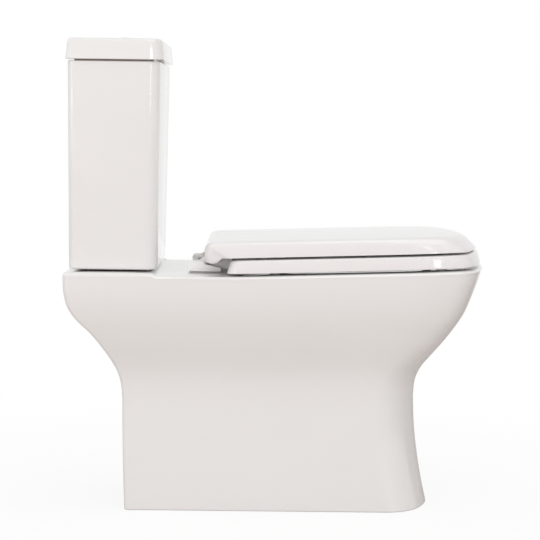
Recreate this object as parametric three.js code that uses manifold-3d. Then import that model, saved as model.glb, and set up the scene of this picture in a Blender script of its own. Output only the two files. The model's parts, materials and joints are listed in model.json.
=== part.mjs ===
// A two-piece, close-coupled toilet: a skirted pan, a tapered cistern with its lid and dual flush
// button, a seat ring and cover on two hinges, and the valves and fixings that it needs inside.
// Millimetres. It faces -Y, its back is at +Y, and it stands on z = 0.
import * as THREE from "three";
import { mergeVertices } from "three/addons/utils/BufferGeometryUtils.js";
import Module from "manifold-3d";

const wasm = await Module();
wasm.setup();

// Fits that every piece shares
const clearance = 0.3; // between two pieces that touch
const runningGap = 0.5; // between pieces that turn or slide past each other
const overrun = 5; // how far a cut runs past the face that it opens
const bite = 1; // how far the parts of one casting run into each other
const weld = 0.0005; // vertices closer than this are one

// Smoothness of round forms, as sides of a full turn
const fineSides = 24;
const roundSides = 16;
const smallSides = 10;
const hexSides = 6;
const quarterTurn = Math.PI / 2;

// Pan
const panLength = 703;
const deckHeight = 400;
const rimWidth = 361;
const waistHeight = 186;
const waistWidth = 214;
const waistFrontInset = 113.5; // front of the rim to front of the waist
const waistRearInset = 94;
const footWidth = 231;
const footFrontReach = 25; // floor line in front of the waist
const footRearTuck = 5; // floor line in front of the rear of the waist
const rimBow = 29; // how far the front of the rim bows past its corners
const rimTurnIn = 22; // how far each side turns in by the front corner
const rimTurnLength = 120;
const rimCorner = 22;
const rimRearCorner = 7;
const footBow = 38;
const footTurnIn = 9;
const footTurnLength = 46;
const footCorner = 24;
const footRearCorner = 6;
const rimEdge = 6; // radius along the top edge
const skirtWall = 14;
const deckThickness = 16;
const platformRise = 4.4;
const platformRun = 6;
const platformDepth = 151; // from the back of the pan
const rimBendDepth = 291.5; // the rim starts to rise this far from the back
const seatTilt = THREE.MathUtils.degToRad(1.95);
const backOpeningDrop = 70; // deck to the top of the opening in the skirt's back

// Bowl, water trap and flush channel
const bowlWidth = 240;
const bowlRimMargin = 55.5; // front of the rim to the bowl's edge
const bowlRearMargin = 347.5; // the bowl's edge to the back of the pan
const bowlLipDepth = 34;
const bowlUndercut = 12;
const bowlWall = 12;
const sumpShare = 0.37; // how far the sump lies behind the middle, over the bowl's length
const sumpHeight = 74;
const sumpLength = 52;
const sumpWidth = 48;
const trapBore = 35;
const trapWall = 11;
const trapDipHeight = 110;
const trapCrestHeight = 232;
const trapFootReach = 52; // middle of the sump to the foot of the rising leg
const trapRiseReach = 70;
const trapCrestReach = 83;
const trapFallReach = 42;
const trapBend = 33;
const outletHeight = 180;
const spigotRadius = 51;
const spigotLength = 41;
const spigotInset = 10; // end of the spigot inside the back of the foot
const channelBore = 27;
const channelWall = 11;
const channelDrop = 55; // deck to the middle of the channel
const channelBend = 54;
const inletRecess = 46;
const inletRecessDepth = 22;

// Floor fixings
const lugLength = 34;
const lugReach = 33;
const lugHeight = 28;
const floorScrewShank = 4;
const floorScrewHead = 8;
const floorScrewHeadHeight = 5;
const floorBushRadius = 11;
const floorBushHeight = 4;

// Cistern
const cisternTopWidth = 376;
const cisternBottomWidth = 308;
const cisternTopDepth = 149;
const cisternBottomDepth = 145;
const cisternRearInset = 8; // back of the pan to back of the cistern
const cisternStandOff = 3; // over the platform
const cisternHeight = 340;
const cisternWall = 10;
const cisternFloor = 12;
const cisternFrontCorner = 17;
const cisternRearCorner = 9;
const cisternFootEdge = 5;
const cisternTopEdge = 1;
const holeMargin = 1.5;

// Lid
const lidSideReach = 4.75; // past the cistern, each side
const lidEndReach = 3.25; // past it in front and behind
const lidHeight = 36;
const lidGap = 2.6; // shadow gap over the cistern
const lidEdge = 6;
const lidTaper = 3;
const lidTop = 9;
const lidWall = 9;
const lidLipDepth = 9;
const lidLipWall = 5;
const lidCorner = 18;
const lidRearCorner = 7;
const lidFootChamfer = 1.2;
const lidLipGap = 1.5;

// Flush button, over the flush valve
const valveInset = 89; // back of the pan to the axis of the flush valve
const bezelRadius = 27;
const bezelHeight = 1.6;
const sleeveRadius = 21;
const sleeveWall = 1.8;
const sleeveLength = 30;
const lockNutRadius = 27;
const lockNutHeight = 9;
const buttonDome = 4;
const buttonHeight = 11;
const buttonTravel = 6;
const buttonSplit = 3; // the parting line, off the middle
const rodRadius = 2.6;
const rodOffset = 12;

// Seat ring and cover
const seatGap = 4.7; // the ring buffers' height
const ringThickness = 22;
const ringEdge = 3.5;
const ringHalf = 178;
const ringRearInset = 52.5; // hinge axis to the rear of the ring
const ringRearSlant = 8;
const ringFrontMargin = 4.5;
const ringFrontSlant = 7; // the ring stops short of the rim's front
const ringHoleInset = 7; // the hole inside the bowl's edge, front and back
const ringHoleSideInset = 12;
const ringBand = 54; // front of the ring to its hole
const coverGap = 3.9; // the cover buffers' height
const coverHeight = 25.5;
const coverCrown = 1.5;
const coverWall = 5;
const coverFrontMargin = 12;
const coverEdge = 6;
const coverFrontFall = 42; // how far back the front slope starts
const noseRadius = 13; // rolled rear edge
const noseInset = 16.7; // hinge axis to the rear of the nose
const noseTopRadius = 18;
const noseEnd = 9; // radius of its rounded ends
const noseDrop = 9.4; // the nose hangs this far below the cover's edge
const ringBufferRadius = 8;
const coverBufferRadius = 7;
const bufferSide = 144;
const bufferRear = 131.5; // hinge axis to the rear buffers
const bufferFrontMargin = 82.5; // front of the rim to the front buffers

// Hinges
const hingeSpacing = 155;
const hingeInset = 217; // back of the pan to the hinge axis
const hingeAxisRise = 10.5; // over the deck
const hingeWidth = 41;
const cheekWidth = 9;
const hingeRear = 13.5; // axis to the back of the base
const hingeStep = 12.5; // axis to the step in its top
const hingeFront = 39.5; // axis to its front end
const hingeTop = 18; // the rest are heights over the deck
const hingeStepTop = 13.7;
const hingeNoseTop = 8.3;
const hingeFloor = 6.2;
const hingeEarFloor = 3.2;
const hingeCorner = 5;
const earRadius = 6.5;
const pinRadius = 2.8;
const pinCover = 3; // plastic left over the pin's outer end
const notchLength = 7;
const notchHeight = 4.5;
const padThickness = 1.6;
const padMargin = 2.5;
const armThickness = 7.5;
const armDrop = 3.5;
const studInset = 26; // in front of the hinge axis
const studLedge = 1.8;
const studRadius = 3.8;
const studHead = 7;
const studHeadHeight = 1.8;
const studLength = 53;
const studConeRadius = 13;
const studConeHeight = 8;
const wingNutRadius = 9;
const wingNutHeight = 10;
const wingSpan = 17;
const wingThickness = 3;

// Cistern-to-pan joint
const boltSpacing = 144;
const boltRadius = 4;
const boltHead = 9;
const boltHeadHeight = 4.5;
const boltLength = 78;
const boltSealRadius = 12.5;
const boltSealHeight = 5;
const plateWasherRadius = 11;
const plateWasherHeight = 2.5;
const couplingSealWall = 6.5;

// Flush valve
const tailRadius = 30.5;
const tailWall = 4.5;
const tailLength = 27;
const tailNutRadius = 38;
const tailNutHeight = 9;
const valveFlange = 38;
const valveFlangeHeight = 5.5;
const seatLipRadius = 25;
const seatLipHeight = 3;
const valvePostHeight = 30;
const valvePostRadius = 3.2;
const valvePosts = 4;
const cageRadius = 30;
const cageWall = 3;
const cageHeight = 150;
const cageHeadHeight = 14;
const cageSlotWidth = 14;
const tubeRadius = 13;
const tubeWall = 2;
const tubeHeight = 150;
const sealRadius = 27.5;
const sealHeight = 3;
const sealPlateHeight = 3.5;
const liftReach = 50; // valve axis to the near side of the lift rod
const liftRodRadius = 3;
const liftRodFoot = 62; // over the cistern's floor
const liftArmHeight = 8;
const leverPivotReach = 29;
const leverHeight = 6;
const leverWidth = 8;
const leverPinRadius = 1.8;
const leverRise = 22; // over the head of the cage

// Fill valve
const fillInset = 108; // from the middle of the cistern
const fillBehind = 10; // behind the axis of the flush valve
const fillTailRadius = 10.4;
const fillTailBore = 6;
const fillTailLength = 48;
const fillFlange = 17;
const fillFlangeHeight = 4;
const fillWasherHeight = 2.4;
const fillNutRadius = 17;
const fillNutHeight = 8;
const fillBodyRadius = 11;
const fillBodyHeight = 176;
const fillHeadRadius = 18;
const fillHeadHeight = 30;
const floatRadius = 26;
const floatWall = 2;
const floatBore = 12.5;
const floatHeight = 62;
const floatRest = 88; // over the cistern's floor
const floatArmReach = 36;
const floatArmThickness = 4;
const floatArmWidth = 7;
const floatLinkRadius = 2;
const refillBore = 2.4;
const refillRadius = 3.6;

// Places worked out from the sizes above
const panRear = panLength / 2;
const panFront = -panLength / 2;
const platformHeight = deckHeight + platformRise;
const platformFront = panRear - platformDepth;
const rimBend = panRear - rimBendDepth;
const rimFront = panFront;
const bowlLength = panLength - bowlRimMargin - bowlRearMargin;
const backOpening = deckHeight - backOpeningDrop;
const valveY = panRear - valveInset;
const fillY = valveY + fillBehind;
const cisternBase = platformHeight + cisternStandOff;
const cisternInside = cisternBase + cisternFloor;
const cisternTop = cisternBase + cisternHeight;
const cisternRear = panRear - cisternRearInset;
const lidWidth = cisternTopWidth + 2 * lidSideReach;
const lidDepth = cisternTopDepth + 2 * lidEndReach;
const hingeY = panRear - hingeInset;
const hingeZ = deckHeight + hingeAxisRise;
const ringHoleLength = bowlLength - 2 * ringHoleInset;
const ringHoleWidth = bowlWidth - 2 * ringHoleSideInset;
const bufferFront = hingeY - rimFront - bufferFrontMargin;

// Materials
const finish = (color, roughness, metalness = 0) =>
  new THREE.MeshStandardMaterial({ color, roughness, metalness });
const ceramic = () => finish(0xe9e5e3, 0.12);
const seatPlastic = () => finish(0xe9e6e4, 0.2);
const whitePlastic = () => finish(0xe4e4e0, 0.4);
const greyPlastic = () => finish(0xb9bcbd, 0.45);
const blackRubber = () => finish(0x262626, 0.8);
const chrome = () => finish(0xd2d4d6, 0.08, 1);
const steel = () => finish(0xb6b8ba, 0.3, 1);

// A closed geometry as a solid, turned right side out.
function solidOf(geometry) {
  const bare = geometry.clone();
  bare.deleteAttribute("normal");
  bare.deleteAttribute("uv");
  const merged = mergeVertices(bare, weld);
  const index = merged.index.array;
  const kept = [];
  for (let i = 0; i < index.length; i += 3) {
    const [a, b, c] = [index[i], index[i + 1], index[i + 2]];
    if (a !== b && b !== c && c !== a) kept.push(a, b, c);
  }
  const build = (triVerts) =>
    new wasm.Manifold(
      new wasm.Mesh({ numProp: 3, vertProperties: merged.attributes.position.array, triVerts }),
    );
  const made = build(new Uint32Array(kept));
  if (made.volume() > 0) return made;
  for (let i = 0; i < kept.length; i += 3) [kept[i + 1], kept[i + 2]] = [kept[i + 2], kept[i + 1]];
  return build(new Uint32Array(kept));
}

function joined(first, ...others) {
  return others.reduce((whole, piece) => whole.add(piece), first);
}

function cut(body, ...tools) {
  return tools.reduce((whole, tool) => whole.subtract(tool), body);
}

// A solid as a named mesh.
function piece(name, solid, material) {
  const { vertProperties, triVerts } = solid.getMesh();
  const geometry = new THREE.BufferGeometry();
  geometry.setAttribute("position", new THREE.BufferAttribute(new Float32Array(vertProperties), 3));
  geometry.setIndex(new THREE.BufferAttribute(new Uint32Array(triVerts), 1));
  geometry.computeVertexNormals();
  const mesh = new THREE.Mesh(geometry, material);
  mesh.name = name;
  return mesh;
}

// A profile of [radius, height] points turned about a vertical axis at x, y.
function turned(profile, sides, x = 0, y = 0, z = 0) {
  const points = profile.map(([r, h]) => new THREE.Vector2(r, h));
  if (profile[0][0] > 0) points.push(points[0].clone());
  return solidOf(
    new THREE.LatheGeometry(points, sides).rotateX(quarterTurn).translate(x, y, z),
  );
}

// An upright round bar, from one height to another.
function bar(radius, from, to, sides, x = 0, y = 0) {
  return turned(
    [
      [0, from],
      [radius, from],
      [radius, to],
      [0, to],
    ],
    sides,
    x,
    y,
  );
}

// An upright ring with a square section.
function sleeve(inner, outer, from, to, sides, x = 0, y = 0) {
  return turned(
    [
      [inner, from],
      [outer, from],
      [outer, to],
      [inner, to],
    ],
    sides,
    x,
    y,
  );
}

// A round bar along X between two places, about the line y, z.
function crossBar(radius, from, to, sides, y = 0, z = 0) {
  const length = to - from;
  const geometry = new THREE.CylinderGeometry(radius, radius, length, sides);
  return solidOf(geometry.rotateZ(quarterTurn).translate(from + length / 2, y, z));
}

// A box between two corners.
function block(x0, x1, y0, y1, z0, z1) {
  const geometry = new THREE.BoxGeometry(x1 - x0, y1 - y0, z1 - z0);
  return solidOf(geometry.translate((x0 + x1) / 2, (y0 + y1) / 2, (z0 + z1) / 2));
}

// A profile of [y, z] points extruded along X between two places.
function sideProfile(points, from, to) {
  const shape = new THREE.Shape(points.map(([y, z]) => new THREE.Vector2(y, z)));
  const geometry = new THREE.ExtrudeGeometry(shape, { depth: to - from, bevelEnabled: false });
  return solidOf(geometry.rotateX(quarterTurn).rotateZ(quarterTurn).translate(from, 0, 0));
}

// A solid through rings of equal count, each one counterclockwise seen from above.
function loft(rings) {
  const count = rings[0].length;
  const positions = [];
  const index = [];
  for (const ring of rings) for (const point of ring) positions.push(...point);
  for (let level = 0; level + 1 < rings.length; level += 1) {
    for (let i = 0; i < count; i += 1) {
      const a = level * count + i;
      const b = level * count + ((i + 1) % count);
      index.push(a, b, b + count, a, b + count, a + count);
    }
  }
  const middle = (ring) =>
    ring
      .reduce((sum, point) => sum.map((value, axis) => value + point[axis]), [0, 0, 0])
      .map((value) => value / count);
  const last = (rings.length - 1) * count;
  const foot = rings.length * count;
  positions.push(...middle(rings[0]), ...middle(rings[rings.length - 1]));
  for (let i = 0; i < count; i += 1) {
    const next = (i + 1) % count;
    index.push(foot, next, i, foot + 1, last + i, last + next);
  }
  const geometry = new THREE.BufferGeometry();
  geometry.setAttribute("position", new THREE.Float32BufferAttribute(positions, 3));
  geometry.setIndex(index);
  return solidOf(geometry);
}

// A tube's solid core along a bent line of [y, z] corners, each corner rounded by a bend.
function bentBar(radius, corners, bend, sides, x = 0) {
  const at = ([y, z]) => new THREE.Vector3(x, y, z);
  const path = new THREE.CurvePath();
  let start = at(corners[0]);
  corners.slice(1, -1).forEach((corner, i) => {
    const turn = at(corner);
    const next = at(corners[i + 2]);
    const enter = turn.clone().add(start.clone().sub(turn).setLength(bend));
    const leave = turn.clone().add(next.clone().sub(turn).setLength(bend));
    path.add(new THREE.LineCurve3(start, enter));
    path.add(new THREE.QuadraticBezierCurve3(enter, turn, leave));
    start = leave;
  });
  path.add(new THREE.LineCurve3(start, at(corners[corners.length - 1])));
  const round = new THREE.Shape().absarc(0, 0, radius, 0, 2 * Math.PI);
  const steps = Math.ceil((path.getLength() / bend) * stepsPerBend);
  const geometry = new THREE.ExtrudeGeometry(round, {
    steps,
    curveSegments: sides,
    extrudePath: path,
  });
  return solidOf(geometry);
}
const stepsPerBend = 1.7;

// Plan outlines

const frontSteps = 4;
const cornerSteps = 4;
const turnSteps = 3;
const rearSteps = 3;

// A plan outline with a straight back, straight sides that turn in towards the front, soft front
// corners and a bowed front. Stations are further points on the straight sides.
function planOutline({ half, rear, front, bow, turnIn, turnLength, corner, rearCorner }, stations) {
  const tip = half - turnIn;
  const cornerY = front + bow;
  const turnStart = cornerY + turnLength;
  const bowed = (x) => front + bow * (x / tip) ** 2;
  const sideX = (y) => half - turnIn * ((turnStart - y) / turnLength) ** 2;
  const right = [];
  for (let i = 0; i <= frontSteps; i += 1) {
    const x = ((tip - corner) * i) / frontSteps;
    right.push([x, bowed(x)]);
  }
  const enter = new THREE.Vector2(tip - corner, bowed(tip - corner));
  const leave = new THREE.Vector2(sideX(cornerY + corner), cornerY + corner);
  const round = new THREE.QuadraticBezierCurve(enter, new THREE.Vector2(tip, cornerY), leave);
  for (let i = 1; i <= cornerSteps; i += 1) right.push(round.getPoint(i / cornerSteps).toArray());
  for (let i = 1; i <= turnSteps; i += 1) {
    const y = leave.y + ((turnStart - leave.y) * i) / turnSteps;
    right.push([sideX(y), y]);
  }
  for (const y of stations) right.push([half, y]);
  for (let i = 0; i <= rearSteps; i += 1) {
    const angle = quarterTurn * (i / rearSteps);
    right.push([
      half - rearCorner * (1 - Math.cos(angle)),
      rear - rearCorner * (1 - Math.sin(angle)),
    ]);
  }
  const left = right.slice(1).reverse().map(([x, y]) => [-x, y]);
  return [...right, [0, rear], ...left];
}

// A rounded rectangle with its own front and rear corner radii.
function boxOutline({ half, rear, front, frontCorner, rearCorner }) {
  const right = [[0, front]];
  const arc = (radius, y, sign) => {
    for (let i = 0; i <= cornerSteps; i += 1) {
      const angle = quarterTurn * (i / cornerSteps);
      const along = sign < 0 ? Math.sin(angle) : Math.cos(angle);
      const across = sign < 0 ? Math.cos(angle) : Math.sin(angle);
      right.push([half - radius * (1 - along), y - sign * radius * (1 - across)]);
    }
  };
  arc(frontCorner, front, -1);
  arc(rearCorner, rear, 1);
  const left = right.slice(1).reverse().map(([x, y]) => [-x, y]);
  return [...right, [0, rear], ...left];
}

// A superellipse about x = 0: round at power 2, squarer above it.
function ovalOutline(middleY, halfLength, halfWidth, power, sides) {
  const points = [];
  for (let i = 0; i < sides; i += 1) {
    const angle = (2 * Math.PI * i) / sides;
    const [c, s] = [Math.cos(angle), Math.sin(angle)];
    points.push([
      halfWidth * Math.sign(c) * Math.abs(c) ** (2 / power),
      middleY + halfLength * Math.sign(s) * Math.abs(s) ** (2 / power),
    ]);
  }
  return points;
}

const atHeight = (outline, z) => outline.map(([x, y]) => [x, y, z]);

// Pan: the form of its skirt, as shares of the way from the waist up to the rim
const flareHeightShares = [0, 0.12, 0.22, 0.32, 0.43, 0.54, 0.64, 0.74, 0.84, 0.93];
const flareFrontShares = [0, 0.025, 0.11, 0.27, 0.455, 0.615, 0.74, 0.825, 0.9, 0.963];
const flareSideShares = [0, 0.03, 0.1, 0.23, 0.41, 0.58, 0.725, 0.84, 0.92, 0.97];
const flareRearShares = [0, 0.025, 0.085, 0.2, 0.36, 0.55, 0.77, 0.92, 0.98, 1];
const footHeightShares = [1, 0.76, 0.5, 0.25];
const footFlareShares = [1, 0.61, 0.287, 0.0825];
const rimEdgeShares = [0, 0.33, 0.62, 0.84, 0.95];
const rimEdgeRise = [0, 0.25, 0.55, 0.84, 0.96];
const mix = (from, to, share) => from + (to - from) * share;

// How far the deck stands above its rear part, over a place along Y.
function deckRise(y) {
  if (y < rimBend) return (rimBend - y) * Math.tan(seatTilt);
  const ramp = (y - (platformFront - platformRun)) / platformRun;
  return platformRise * THREE.MathUtils.clamp(ramp, 0, 1);
}

// The rim's rise fades out down to the waist, and the platform's within the deck's edge.
function liftedPoint([x, y], z) {
  const rise = deckRise(y);
  const fade = y < rimBend ? deckHeight - waistHeight : platformFade;
  const share = THREE.MathUtils.clamp((z - deckHeight + fade) / fade, 0, 1);
  return [x, y, z + rise * share];
}
const platformFade = 24;

const sideStations = [platformFront - platformRun, platformFront];
const panStations = [mix(rimBend, panFront, 0.5), rimBend, ...sideStations];

// The skirt's sizes at a level: shares of the flare above the waist, or of the foot below it.
function skirtAt({ front, side, rear, foot }) {
  return {
    half: mix(mix(waistWidth, rimWidth, side), footWidth, foot) / 2,
    rear: panRear - waistRearInset * (1 - rear) - footRearTuck * foot,
    front: panFront + waistFrontInset * (1 - front) - footFrontReach * foot,
    bow: mix(footBow, rimBow, side),
    turnIn: mix(footTurnIn, rimTurnIn, side),
    turnLength: mix(footTurnLength, rimTurnLength, side),
    corner: mix(footCorner, rimCorner, side),
    rearCorner: mix(footRearCorner, rimRearCorner, side),
  };
}

const flareHeight = deckHeight - waistHeight;
const skirtLevels = [
  ...footHeightShares.map((share, i) => ({
    z: waistHeight * (1 - share),
    section: skirtAt({ front: 0, side: 0, rear: 0, foot: footFlareShares[i] }),
  })),
  ...flareHeightShares.map((share, i) => ({
    z: waistHeight + flareHeight * share,
    section: skirtAt({
      front: flareFrontShares[i],
      side: flareSideShares[i],
      rear: flareRearShares[i],
      foot: 0,
    }),
  })),
];
const rimSection = skirtAt({ front: 1, side: 1, rear: 1, foot: 0 });

const shrunk = (section, by) => ({
  ...section,
  half: section.half - by,
  rear: section.rear - by,
  front: section.front + by,
});

const skirtRing = (section, z) => planOutline(section, panStations).map((p) => liftedPoint(p, z));

// The outside of the pan, with a rounded edge that runs on up past the deck.
function skirtSolid() {
  const rings = skirtLevels.map(({ z, section }) => skirtRing(section, z));
  rimEdgeShares.forEach((share, i) => {
    const z = deckHeight - rimEdge * (1 - rimEdgeRise[i]);
    rings.push(skirtRing(shrunk(rimSection, rimEdge * share * share), z));
  });
  rings.push(skirtRing(shrunk(rimSection, rimEdge + overrun), deckHeight + overrun));
  return loft(rings);
}

// Everything above the deck: the sloped rim, the flat seat deck and the raised platform.
function aboveDeck() {
  const far = panLength;
  const frontEnd = panFront - overrun;
  const profile = [
    [frontEnd, deckHeight + deckRise(frontEnd)],
    [rimBend, deckHeight],
    [platformFront - platformRun, deckHeight],
    [platformFront, platformHeight],
    [panRear + overrun, platformHeight],
    [panRear + overrun, far],
    [frontEnd, far],
  ];
  return sideProfile(profile, -rimWidth, rimWidth);
}

// The hollow in the skirt: open to the floor, and to the back below backOpening.
function skirtHollow() {
  const hollowRing = (section, z, open) => {
    const inner = shrunk(section, skirtWall);
    if (open) inner.rear = section.rear + overrun;
    return skirtRing(inner, z);
  };
  const top = deckHeight - deckThickness;
  const rings = [hollowRing(skirtLevels[0].section, -overrun, true)];
  for (const { z, section } of skirtLevels.slice(1)) {
    if (z < backOpening) rings.push(hollowRing(section, z, true));
  }
  const above = skirtLevels.filter(({ z }) => z > backOpening && z < top);
  rings.push(hollowRing(above[0].section, backOpening, true));
  rings.push(hollowRing(above[0].section, backOpening + clearance, false));
  for (const { z, section } of above) rings.push(hollowRing(section, z, false));
  rings.push(hollowRing(rimSection, top, false));
  return loft(rings);
}

const bowlFront = rimFront + bowlRimMargin;
const bowlMiddle = bowlFront + bowlLength / 2;
const sumpMiddle = bowlMiddle + bowlLength * sumpShare;
const bowlLip = deckHeight - bowlLipDepth;
const bowlHeightShares = [1, 0.76, 0.53, 0.36, 0.19, 0.06, 0];
const bowlSizeShares = [1, 0.84, 0.58, 0.37, 0.2, 0.1, 0];
const bowlShiftShares = [0, 0.16, 0.42, 0.66, 0.88, 0.97, 1];

// The bowl below its lip, from the sump up, grown by a wall for its outside.
function bowlRings(grow) {
  const rings = bowlHeightShares.map((share, i) => {
    const size = bowlSizeShares[i];
    const outline = ovalOutline(
      mix(bowlMiddle, sumpMiddle, bowlShiftShares[i]),
      mix(sumpLength / 2, bowlLength / 2 + bowlUndercut, size) + grow,
      mix(sumpWidth / 2, bowlWidth / 2 + bowlUndercut, size) + grow,
      mix(2, 2.5, size),
      fineSides + hexSides,
    );
    return atHeight(outline, mix(sumpHeight - grow, bowlLip, share));
  });
  return rings.reverse();
}

function bowlOutside() {
  const rings = bowlRings(bowlWall);
  const brim = rings[rings.length - 1].map(([x, y]) => [x, y, deckHeight - deckThickness / 2]);
  return loft([...rings, brim]);
}

function bowlInside() {
  const rings = bowlRings(0);
  const opening = (grow, z) =>
    atHeight(
      ovalOutline(
        bowlMiddle,
        bowlLength / 2 + grow,
        bowlWidth / 2 + grow,
        2.8,
        fineSides + hexSides,
      ),
      z,
    );
  rings.push(rings[rings.length - 1].map(([x, y]) => [x, y, bowlLip + bowlUndercut]));
  rings.push(opening(0, deckHeight - deckThickness + clearance));
  rings.push(opening(0, deckHeight + rimEdge + overrun * 3));
  return loft(rings);
}

const outletEnd = panRear - waistRearInset - spigotInset;
const trapFoot = sumpMiddle + trapFootReach;
const trapCrest = trapFoot + trapRiseReach;
const trapLine = (end) => [
  [sumpMiddle - trapBore, trapDipHeight],
  [trapFoot, trapDipHeight],
  [trapCrest, trapCrestHeight],
  [trapCrest + trapCrestReach, trapCrestHeight],
  [trapCrest + trapCrestReach + trapFallReach, outletHeight],
  [end, outletHeight],
];

const channelHeight = deckHeight - channelDrop;
const channelLine = [
  [valveY, channelHeight + channelBend + clearance],
  [valveY, channelHeight],
  [bowlMiddle + bowlLength / 2 - bowlWall, channelHeight],
];

function yBar(radius, from, to, sides, z) {
  const geometry = new THREE.CylinderGeometry(radius, radius, to - from, sides);
  return solidOf(geometry.translate(0, (from + to) / 2, z));
}

const lugY = panRear - waistRearInset - lugLength / 2 - spigotInset;
const lugX = footWidth / 2 - skirtWall - lugReach / 2;

function pan() {
  const shell = cut(skirtSolid(), aboveDeck(), skirtHollow());
  const recessFloor = platformHeight - inletRecessDepth;
  const cup = bar(
    inletRecess + bowlWall,
    recessFloor - bowlWall,
    platformHeight - deckThickness / 2,
    fineSides,
    0,
    valveY,
  );
  const lugs = [-1, 1].map((side) => {
    const inner = lugX - lugReach / 2;
    const outer = footWidth / 2 - skirtWall / 2;
    const [a, b] = side < 0 ? [-outer, -inner] : [inner, outer];
    return block(a, b, lugY - lugLength / 2, lugY + lugLength / 2, 0, lugHeight);
  });
  const body = joined(
    shell,
    bowlOutside(),
    bentBar(trapBore + trapWall, trapLine(outletEnd - clearance), trapBend, roundSides / 2),
    yBar(spigotRadius, outletEnd - spigotLength, outletEnd, fineSides, outletHeight),
    bentBar(channelBore + channelWall, channelLine, channelBend, roundSides / 2),
    cup,
    ...lugs,
  );
  const through = (radius, x, y) =>
    bar(radius, deckHeight - deckThickness - overrun * 2, platformHeight + overrun, roundSides, x, y);
  const holes = [-1, 1].flatMap((side) => [
    through(studRadius + padMargin, (side * hingeSpacing) / 2, hingeY - studInset),
    through(boltRadius + padMargin, (side * boltSpacing) / 2, valveY),
    through(fillNutRadius + overrun, side * fillInset, fillY),
    bar(
      floorScrewShank + runningGap,
      -overrun,
      lugHeight + overrun,
      smallSides,
      side * lugX,
      lugY,
    ),
  ]);
  return cut(
    body,
    aboveDeck(),
    bowlInside(),
    bentBar(trapBore, trapLine(outletEnd + overrun), trapBend, roundSides / 2),
    bentBar(channelBore, channelLine, channelBend, roundSides / 2),
    bar(inletRecess, recessFloor, platformHeight + overrun, fineSides, 0, valveY),
    ...holes,
  );
}

// Cistern

function cisternSection(share, inset) {
  const depth = mix(cisternBottomDepth, cisternTopDepth, share);
  return {
    half: mix(cisternBottomWidth, cisternTopWidth, share) / 2 - inset,
    rear: cisternRear - inset,
    front: cisternRear - depth + inset,
    frontCorner: Math.max(cisternFrontCorner - inset, cisternWall / 2),
    rearCorner: Math.max(cisternRearCorner - inset, cisternWall / 2),
  };
}

const cisternRing = (share, inset, z) => atHeight(boxOutline(cisternSection(share, inset)), z);
const lidMiddleY = cisternRear - cisternTopDepth / 2;

function cistern() {
  const outside = loft([
    cisternRing(0, cisternFootEdge, cisternBase),
    cisternRing(0, cisternFootEdge * 0.3, cisternBase + cisternFootEdge * 0.3),
    cisternRing(cisternFootEdge / cisternHeight, 0, cisternBase + cisternFootEdge),
    cisternRing(1, 0, cisternTop - cisternTopEdge),
    cisternRing(1, cisternTopEdge, cisternTop),
  ]);
  const floorShare = cisternFloor / cisternHeight;
  const inside = loft([
    cisternRing(floorShare, cisternWall + cisternFootEdge, cisternInside),
    cisternRing(floorShare, cisternWall, cisternInside + cisternFootEdge),
    cisternRing(1, cisternWall, cisternTop),
    cisternRing(1, cisternWall, cisternTop + overrun),
  ]);
  const hole = (radius, x, y) =>
    bar(radius, cisternBase - overrun, cisternInside + overrun, roundSides, x, y);
  return cut(
    outside,
    inside,
    hole(tailRadius + holeMargin, 0, valveY),
    hole(fillTailRadius + holeMargin, fillInset, fillY),
    hole(boltRadius + holeMargin, -boltSpacing / 2, valveY),
    hole(boltRadius + holeMargin, boltSpacing / 2, valveY),
  );
}

const lidBase = cisternTop + lidGap;
const lidTopHeight = lidBase + lidHeight;

function lidRing(inset, z) {
  return atHeight(
    boxOutline({
      half: lidWidth / 2 - inset,
      rear: lidMiddleY + lidDepth / 2 - inset,
      front: lidMiddleY - lidDepth / 2 + inset,
      frontCorner: Math.max(lidCorner - inset / 2, lidEdge),
      rearCorner: Math.max(lidRearCorner - inset / 2, lidEdge / 2),
    }),
    z,
  );
}

const lidRoundingShares = [0.3, 0.6, 0.85, 1];

function cisternLid() {
  const shoulder = lidTopHeight - lidEdge;
  const rounding = lidRoundingShares.map((share) => {
    const angle = quarterTurn * share;
    return lidRing(
      lidTaper + lidEdge * (1 - Math.cos(angle)),
      shoulder + lidEdge * Math.sin(angle),
    );
  });
  const outside = loft([
    lidRing(lidFootChamfer, lidBase),
    lidRing(0, lidBase + lidFootChamfer),
    lidRing(lidTaper, shoulder),
    ...rounding,
  ]);
  const hollow = loft([
    lidRing(lidWall + lidTaper, lidBase - overrun),
    lidRing(lidWall + lidTaper, lidTopHeight - lidTop - lidEdge),
    lidRing(lidWall + lidTaper + lidEdge, lidTopHeight - lidTop),
  ]);
  // The lid rests on a foot set back from its edge, and a lip inside keeps it in place.
  const foot = lidSideReach + cisternWall / 3;
  const footSolid = loft([
    lidRing(foot, cisternTop + clearance),
    lidRing(foot, lidBase + overrun),
  ]);
  const lipOuter = lidSideReach + cisternWall + lidLipGap;
  const lip = loft([
    lidRing(lipOuter, cisternTop - lidLipDepth),
    lidRing(lipOuter, lidBase + lidEdge),
  ]);
  const lipHollow = loft([
    lidRing(lipOuter + lidLipWall, cisternTop - lidLipDepth - overrun),
    lidRing(lipOuter + lidLipWall, lidBase + lidEdge + overrun),
  ]);
  const rim = joined(cut(outside, hollow), cut(joined(footSolid, lip), lipHollow));
  return cut(
    rim,
    bar(sleeveRadius + holeMargin / 2, lidBase, lidTopHeight + overrun, fineSides, 0, valveY),
  );
}

// Flush button

const bezelBase = lidTopHeight + clearance;
const buttonRadius = sleeveRadius - sleeveWall - runningGap;

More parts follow.
